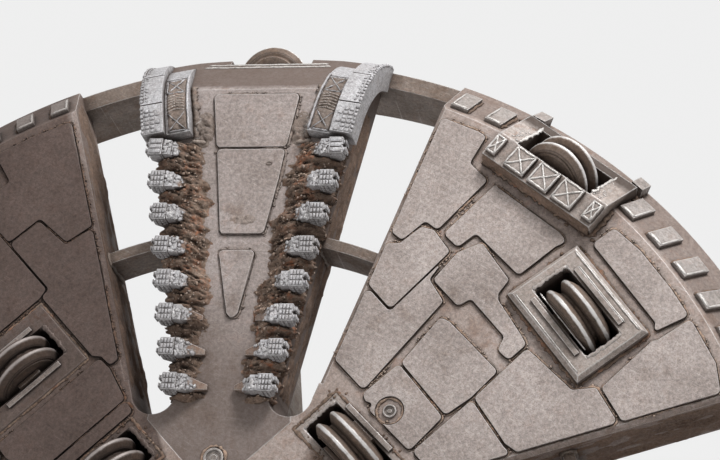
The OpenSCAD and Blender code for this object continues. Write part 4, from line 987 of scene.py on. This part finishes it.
strips, padMudAndShadow = Pile(), Pile()
middle = (pad["first"] + pad["last"]) / 2
half = pad["half"] - 0.008
for k, gaugeAngle in enumerate(gaugeAngles):
    for side, start, pitch in pad["rows"]:
        for m in range(6):
            turn = (gauge["half"] + start + m * pitch) / middle * 180 / math.pi
            way = side if k % 2 == 0 else -side
            angle = gaugeAngle + way * turn
            if abs(angle - panelAngles[k]) > pad["limit"]:
                continue
            up = bevelOut(angle)
            # painted highlight: bright beads along the pad's inner edge and one side, where its lit corner
            # shows
            inner = [onBevel(angle, x, pad["first"] + 0.01, pad["height"])
                     for x in np.linspace(-half, half, 8)]
            bead(strips, inner, up, pad["width"], pad["bead"], 0.25)
            edge = [onBevel(angle, -half * way, r, pad["height"])
                    for r in np.linspace(pad["first"] + 0.01, pad["last"] - 0.02, 9)]
            bead(strips, edge, up, pad["width"] * 0.6, pad["bead"] * 0.8, 0.25)
            # painted shadow: a dark mud bead along the pad's other side
            below = [onBevel(angle, (half + 0.014) * way, r, 0.0)
                     for r in np.linspace(pad["first"], pad["last"], 10)]
            bead(padMudAndShadow, below, up, *pad["mud"], 0.45)
    for way in (-1, 1):
        places = [onBevel(gaugeAngle, ledge["out"] * way + dx, ledge["radius"] + dr, 0.002)
                  for dx, dr in rng.normal(size=(ledge["crumbs"], 2)) * ledge["spread"]]
        crumbs(padMudAndShadow, places, bevelOut(gaugeAngle), rng.uniform(*ledge["size"], ledge["crumbs"]), 0.7)
for angle in spokeAngles:
    for z, half in spokeLines["rows"]:
        y = (z - head["spokeFace"]) * head["spokeBevel"]
        line = fromFace(angle, [(x, y, z) for x in np.arange(-half, half, 0.02)])
        bead(strips, line, turned(angle, spokeLines["out"]), *spokeLines["bead"], 0.2)
strips.build("padStrips", steels["brightBead"], "wear_block")
padMudAndShadow.build("padMudAndShadow", steels["cakedMud"], "rim", smooth=False)
print("bevels dressed")

# Slots of the cutters: ragged corners, and packed mud behind the discs, clear of them
slot = {"half": 0.25, "width": 0.114, "round": 0.034, "centre": 0.04, "depth": 0.27, "mud": 0.03,
        "lip": (0.026, 0.006)}  # centre is the axle's depth, and depth is counted from there
ridge = {"off": 0.202, "apart": 0.036, "half": 0.29, "width": 0.012, "height": 0.006}
gaugeSlot = {"half": 0.262, "from": 2.99, "to": 3.2, "front": -0.1, "slope": 0.74, "slopeFrom": 2.975,
             "out": (0, -0.8, 0.6), "bead": (0.022, 0.008), "crumbs": 3, "crumbSize": (0.003, 0.009)}
slotLips, slotPlugs, ridges = Pile(), Pile(), Pile()


def frameRidges(angle, front, radius):  # polished ridges along a tall frame
    for side, wide in ((1, 1.0), (-1, 0.7)):
        for off, long in ((ridge["off"], 1.0), (ridge["off"] - (2 - side) * ridge["apart"], 0.72)):
            xs = np.arange(-ridge["half"], ridge["half"] * 1.001, 0.02) * long
            line = fromFace(angle, [(x, front, radius + side * off) for x in xs])
            bead(ridges, line, outward, ridge["width"] * wide, ridge["height"] * wide, 0.25)


def slotCorner(angle, front, radius, end, side):  # a ragged piece that rounds a corner of the slot
    reach = slot["round"] * (1 + rng.uniform(-0.12, 0.12, 9))
    flat = [(slot["half"] + 0.001, slot["width"] + 0.001)]
    flat += [(slot["half"] - r + r * math.cos(t), slot["width"] - r + r * math.sin(t))
             for r, t in zip(reach, np.linspace(0, math.pi / 2, 9))]
    m = len(flat)
    points = [(end * x, y, radius + side * z) for y in (front + 0.002, front + 0.09) for x, z in flat]
    fan = [(0, k, k + 1) for k in range(1, m - 1)]
    fan += [(m, m + k + 1, m + k) for k in range(1, m - 1)]
    walls = [(k, (k + 1) % m, m + (k + 1) % m, m + k) for k in range(m)]
    slotLips.add(fromFace(angle, points), walls, fan)


def slotMud(angle, radius, number):  # packed mud behind the discs
    x, z = np.meshgrid(np.linspace(-slot["half"] - 0.0005, slot["half"] + 0.0005, 30),
                       np.linspace(-slot["width"], slot["width"], 15))
    grid = fromFace(angle, np.stack([x, x * 0 + slot["centre"] + slot["depth"], radius + z], -1))
    height = 0.016 + 0.014 * waves(x / 0.06, z / 0.05, 800 + number)
    patch(slotPlugs, grid, outward, np.clip(height, 0, slot["mud"]), sink=0.02)


for number, (angle, radius, _, _, tall) in enumerate(faceHousings):
    if tall > 0.03:
        frameRidges(angle, -tall, radius)
    for end in (-1, 1):
        line = [(end * (slot["half"] + 0.004 + rng.normal() * 0.002), 0.002 - tall, radius + z)
                for z in np.linspace(-slot["width"], slot["width"], 20)]
        bead(slotLips, fromFace(angle, line), outward, *slot["lip"], 0.4)
        for side in (-1, 1):
            slotCorner(angle, -tall, radius, end, side)
    slotMud(angle, radius, number)
for angle in gaugeAngles:  # bright edges and rust along the gauge housings' slots
    g = gaugeSlot
    up = turned(angle, g["out"])
    for end in (-1, 1):
        slopes = [(g["half"] + 0.003 * rng.normal(), g["front"] + g["slope"] * (z - g["slopeFrom"]), z)
                  for z in np.arange(g["from"], g["to"], 0.012)]
        bead(ridges, fromFace(angle, [(end * x, y, z) for x, y, z in slopes]), up, *g["bead"], 0.45)
        places = [(end * (0.275 + 0.05 * rng.random()), y, z)
                  for _, y, z in slopes for _ in range(g["crumbs"])]
        crumbs(slotLips, fromFace(angle, places), up, rng.uniform(*g["crumbSize"], len(places)), 0.6)
ridges.build("housingRidges", steels["brightBead"], "housing")
slotLips.build("slotLips", steels["housingSteel"], "housing", smooth=False)
slotPlugs.build("slotPlugs", steels["cakedMud"], "housing")

# Trim that turns with each cutter: retaining rings, and mud between its cutting rings
trim = {"inner": 0.149, "outer": 0.165, "proud": 0.007, "steps": 56, "twin": 0.0855, "single": 0.0355,
        "belt": 0.148, "beltBead": (0.034, 0.016)}
around = np.arange(trim["steps"]) / trim["steps"] * 2 * math.pi
wheel = np.stack([np.cos(around), np.sin(around), around * 0], -1)
for name, *where in cutters:
    single = name.startswith("rim")
    matrix = np.array(cutterFrame(*where))
    turn, shift = matrix[:3, :3].T, matrix[:3, 3]
    less, base = (0.001, trim["single"]) if single else (0, trim["twin"])
    inner, outer, top = trim["inner"] - less, trim["outer"] - less, base + trim["proud"]
    rings = Pile()
    for side in (-1, 1):
        rows = [wheel * radius + (0, 0, side * z)
                for radius, z in ((inner, base), (inner, top), (outer, top), (outer, base))]
        rings.add(np.concatenate(rows) @ turn + shift, ringQuads(4, trim["steps"]))
    if not single:
        belt = wheel * trim["belt"]
        belt[:, 2] = rng.normal(size=trim["steps"]) * 0.001
        bead(rings, belt @ turn + shift, wheel @ turn, *trim["beltBead"], 0.4, closed=True)
    rings.build("trim_" + name, steels[name], "disc_ring", body=name)
print("slots and cutters dressed")

# Drive side and walls: weld beads round the arms, bars, pipe and ribs, and along the rim
back = {"armHalf": 0.18, "joints": ((1.45, 2.3, 0.45, 1), (1.0, 1.33, 1.18, -1)), "bar": 0.073, "barAt": 2.65,
        "pipe": 0.236, "pipeFoot": 0.51, "flange": (0.231, 0.3, 1.035, 1.08), "bolts": 12, "boltAt": 0.266,
        "boltSize": 0.019, "boltHeight": 0.016, "pocket": 0.19, "rimIn": 3.197, "seamDepth": 0.3,
        "crossbar": (2.039, 2.105, 0.1, 0.36)}
seam = {"arm": (0.034, 0.018), "bar": (0.026, 0.014), "pipe": (0.032, 0.018), "rim": (0.03, 0.005),
        "rear": (0.036, 0.02), "crossbar": (0.034, 0.02), "pocket": (0.03, 0.014)}  # width and height
seams, bolts, pocketMud = Pile(), Pile(), Pile()


def circle(centre, radius, steps, depth):  # a circle that faces the axis, round a point above the axis
    t = np.arange(steps) / steps * 2 * math.pi
    return np.stack([radius * np.cos(t), t * 0 + depth, centre + radius * np.sin(t)], -1)


def lathe(pile, rows, steps):  # a closed ring round the head's axis, of rows of radius and depth
    rings = np.concatenate([fromFace(90, circle(0.0, r, steps, y)) for r, y in rows])
    pile.add(rings, ringQuads(len(rows), steps))


def hexHead(pile, place, out, size, height):  # a bolt's head with a chamfered top
    out = unit(np.asarray(out, float))
    side = unit(np.cross(out, (0.3, 0.5, 0.81)))
    other = np.cross(out, side)
    t = np.arange(6) / 6 * 2 * math.pi
    wheel = np.cos(t)[:, None] * side + np.sin(t)[:, None] * other
    rows = [place + size * share * wheel + level * out
            for share, level in ((1, -0.002), (1, 0.8 * height), (0.8, height))]
    k = np.arange(6)
    quads = [np.stack([k + 6 * row, (k + 1) % 6 + 6 * row, (k + 1) % 6 + 6 * row + 6, k + 6 * row + 6], -1)
             for row in (0, 1)]
    caps = [(0, k + 1, k) for k in range(2, 5)] + [(12, 12 + k, 13 + k) for k in range(1, 5)] + [(0, 2, 1)]
    pile.add(np.vstack(rows), np.vstack(quads), caps)


def wallPoint(half, side, radius, depth):  # a place on a side wall at a distance from the axis
    z = radius
    for _ in range(8):
        z = math.sqrt(radius * radius - half(z) ** 2)
    return (side * half(z), depth, z)


for angle in spokeAngles:
    for low, high, depth, way in back["joints"]:
        corners = [(x, depth, (low + high) / 2 + z) for x, z in box(back["armHalf"], (high - low) / 2)]
        bead(seams, evenly(fromFace(angle, corners), 0.03, closed=True), way * backward, *seam["arm"],
             0.3, closed=True)
    foot = fromFace(angle, circle(back["barAt"], back["bar"], 26, head["bodyDepth"]))
    bead(seams, foot, backward, *seam["bar"], 0.3, closed=True)
foot = fromFace(90, circle(0.0, back["pipe"], 60, back["pipeFoot"]))
bead(seams, foot, backward, *seam["pipe"], 0.3, closed=True)
inner, outer, front, rear = back["flange"]
lathe(bolts, [(inner, front), (outer - 0.004, front), (outer, front + 0.004), (outer, rear - 0.004),
              (outer - 0.004, rear), (inner, rear)], 72)
for k in range(back["bolts"]):
    turn = (k + 0.5) * 2 * math.pi / back["bolts"]
    place = fromFace(90, (back["boltAt"] * math.cos(turn), rear, back["boltAt"] * math.sin(turn)))
    hexHead(bolts, place, backward, back["boltSize"], back["boltHeight"])
for angle, halfTurn, gap in [(a, 23.2, 0) for a in panelAngles] + [(a, 11.2, 5.6) for a in spokeAngles]:
    for first, last in ((-halfTurn, -gap), (gap, halfTurn)):
        turns = np.arange(first, last + 0.01, 0.6)
        line = [fromFace(angle + t, (0, back["seamDepth"], head["rim"])) for t in turns]
        bead(seams, line, [turned(angle + t, (0, 0, 1.0)) for t in turns], *seam["rim"], 0.3)
    turns = np.arange(-halfTurn, halfTurn, 0.6)
    line = [fromFace(angle + t, (0, head["bodyDepth"] + 0.002, back["rimIn"])) for t in turns]
    bead(seams, line, [turned(angle + t, (0, 0.7, -0.7)) for t in turns], *seam["rear"], 0.3)
low, high, front, rear = back["crossbar"]
ends = ((low, front), (high, front), (high, rear), (low, rear))
for half, lean, angles in ((spokeHalf, spokeLean, spokeAngles), (panelHalf, panelLean, panelAngles)):
    for angle in angles:
        for side in (-1, 1):
            path = evenly(fromFace(angle, [wallPoint(half, side, *end) for end in ends]), 0.02, closed=True)
            out = turned(angle, (side * math.cos(lean), 0, -math.sin(lean)))
            bead(seams, path, out, *seam["crossbar"], 0.35, closed=True)
for number in range(4):
    for loop in outlines(f"panel_{number + 1}", back["pocket"] - head["depth"]):
        path = evenly(loop, 0.026, closed=True)
        bead(seams, path, backward, *seam["pocket"], 0.35, closed=True, sides=5)
        pick = rng.integers(0, len(path), 26)
        inside = path[pick] + (path.mean(0) - path[pick]) * rng.uniform(0.03, 0.35, (26, 1))
        crumbs(pocketMud, inside, backward, rng.uniform(0.008, 0.028, 26), 0.5, 0.35)
seams.build("backSeams", steels["structureSteel"], "structure")
bolts.build("pipeFlange", steels["machinedSteel"], "flange", smooth=False)
pocketMud.build("pocketMud", steels["cakedMud"], "structure", smooth=False)
# Mud in the foam ports and round the spokes' nozzles. Columns: angle, across, out, radius
ports = [(a, -0.014, 1.362, 0.074) for a in (45, 225)] + [(a, 0, 0.687, 0.066) for a in spokeAngles]
portMud = Pile()
for angle, x, z, radius in ports:
    ring = fromFace(angle, circle(z, radius, 30, 0.0) + (x, 0, 0))
    bead(portMud, ring, outward, 0.02, 0.01, 0.6, closed=True, sides=5)
    strewn(portMud, ring, 26, 0.006, 0.003, 0.007)
portMud.build("portMud", steels["grooveSoil"], "nozzle", smooth=False)
print("drive side dressed")

# Mud in layers on the side walls of the muck openings
# For panels and spokes: where it starts and ends along the wall, and at what depth it starts
wallMud = {"step": 0.016, "panel": (1.16, 2.93, 0.03), "spoke": (1.12, 2.95, 0.19), "depth": 0.44,
           "height": 0.012}


def mudWall(pile, angle, side, half, lean, low, high, top, seed):
    w = wallMud
    z, share = np.meshgrid(np.arange(low, high, w["step"]), np.linspace(0, 1, int(w["depth"] / w["step"])))
    x = side * half(z)
    radius = np.sqrt(x * x + z * z)
    start = np.maximum(top, bevelAt(radius) + 0.035)
    y = start + (w["depth"] - start) * share
    layers = waves(z / 0.5, y / 0.022, seed)
    lumps = waves(z / 0.07, y / 0.05, seed + 30)
    height = w["height"] * (0.5 + 0.75 * layers + 0.7 * lumps) - 0.002
    edge = inset(0.03, z - low, high - z, y - start, w["depth"] - y)
    height = np.clip(height, -0.003, 0.03) * edge - 0.003 * (1 - edge)
    normal = unit(np.array([side * math.cos(lean), 0, -math.sin(lean)]))
    grid = fromFace(angle, np.stack([x, y, z], -1))
    patch(pile, grid, turned(angle, normal), height, flip=side > 0)


for number in range(4):
    mud = Pile()
    for side in (-1, 1):
        seed = 10 * number + side
        mudWall(mud, panelAngles[number], side, panelHalf, panelLean, *wallMud["panel"], 600 + seed)
        mudWall(mud, spokeAngles[number], side, spokeHalf, spokeLean, *wallMud["spoke"], 700 + seed)
    mud.build(f"wallMud_{number + 1}", steels["cakedMud"], "structure")
print("walls caked")

# Camera at the photograph's place, close to the floor and looking up
camera = {"place": (3.1758, -11.9884, -2.8293), "turn": -13.0721, "lift": 23.9777, "roll": 5.3751,
          "focal": 2132.09, "width": 720}  # focal length and picture width in pixels


def makeCamera():
    turn, lift, roll = (math.radians(camera[k]) for k in ("turn", "lift", "roll"))
    ahead = Vector((math.sin(turn) * math.cos(lift), math.cos(turn) * math.cos(lift), math.sin(lift)))
    right = Vector((math.cos(turn), -math.sin(turn), 0))
    up = right.cross(ahead)
    across = right * math.cos(roll) + up * math.sin(roll)
    upward = up * math.cos(roll) - right * math.sin(roll)
    data = bpy.data.cameras.new("camera")
    data.sensor_width = 36
    data.lens = camera["focal"] / camera["width"] * data.sensor_width
    data.clip_end = 200
    made = linked("camera", data)
    made.matrix_world = Matrix.Translation(camera["place"]) @ \
        Matrix((across, upward, -ahead)).transposed().to_4x4()
    bpy.context.scene.camera = made


makeCamera()

# Studio: pale floor and background, a broad lamp from above, a weak one from the left and one behind
studio = {"floorLevel": -3.42, "floorHalf": 60.0, "floorTone": 0.8, "background": 0.86, "ambient": 0.34,
          "paleFrom": 5.0, "paleTo": 20.0, "paleGlow": 0.58,
          "keyPlace": (5.0, -7.4, 10.4), "keyPower": 1400, "keySize": 3.0,
          "fillPlace": (-9.0, -8.0, 2.0), "fillPower": 200, "fillSize": 6.0,
          "backPlace": (-5.0, 9.0, 7.0), "backPower": 700, "backSize": 5.0}


def lamp(name, place, aim, power, size):
    data = bpy.data.lights.new(name, "AREA")
    data.energy, data.size = power, size
    made = linked(name, data)
    made.location = place
    made.rotation_mode = "QUATERNION"
    made.rotation_quaternion = (Vector(aim) - Vector(place)).to_track_quat("-Z", "Y")


def seenRays(tree):  # 1 where the picture, a shine or a clear pane shows it, and 0 where it gives light
    rays = add(tree, "LightPath").outputs
    shown = calc(tree, "MAXIMUM", rays["Is Camera Ray"], rays["Is Glossy Ray"])
    return calc(tree, "MAXIMUM", shown, rays["Is Transmission Ray"])


def makeStudio():
    for which in ("key", "fill", "back"):
        place, power, size = (studio[which + key] for key in ("Place", "Power", "Size"))
        lamp(which + "Lamp", place, (0, -1, 0.5), power, size)
    mesh = bpy.data.meshes.new("floor")
    corners = [(x, y, studio["floorLevel"]) for x, y in box(studio["floorHalf"], studio["floorHalf"])]
    mesh.from_pydata(corners, [], [(0, 1, 2, 3)])
    floor = linked("floor", mesh)
    material, tree, surface = newMaterial("paleFloor")
    shade = studio["floorTone"]
    surface.inputs["Base Color"].default_value = (shade, shade, shade, 1)
    surface.inputs["Roughness"].default_value = 0.9
    surface.inputs["Emission Color"].default_value = (1, 1, 1, 1)
    away = vector(tree, "LENGTH", add(tree, "TexCoord").outputs["Object"], output="Value")
    pale = span(tree, away, studio["paleFrom"], studio["paleTo"], 0, studio["paleGlow"])
    tree.links.new(calc(tree, "MULTIPLY", seenRays(tree), pale), surface.inputs["Emission Strength"])
    mesh.materials.append(material)
    world = bpy.data.worlds.new("world")
    bpy.context.scene.world = world
    world.use_nodes = True
    tree = world.node_tree
    tree.nodes.clear()
    shine, pale = studio["ambient"], studio["background"]
    shown = mixed(tree, seenRays(tree), (shine, shine, shine, 1), (pale, pale, pale, 1))
    glow = add(tree, "Background", {"Color": shown})
    tree.links.new(glow.outputs[0], add(tree, "OutputWorld").inputs[0])
    bpy.context.scene.view_settings.view_transform = "Standard"


makeStudio()
print("camera and studio ready")
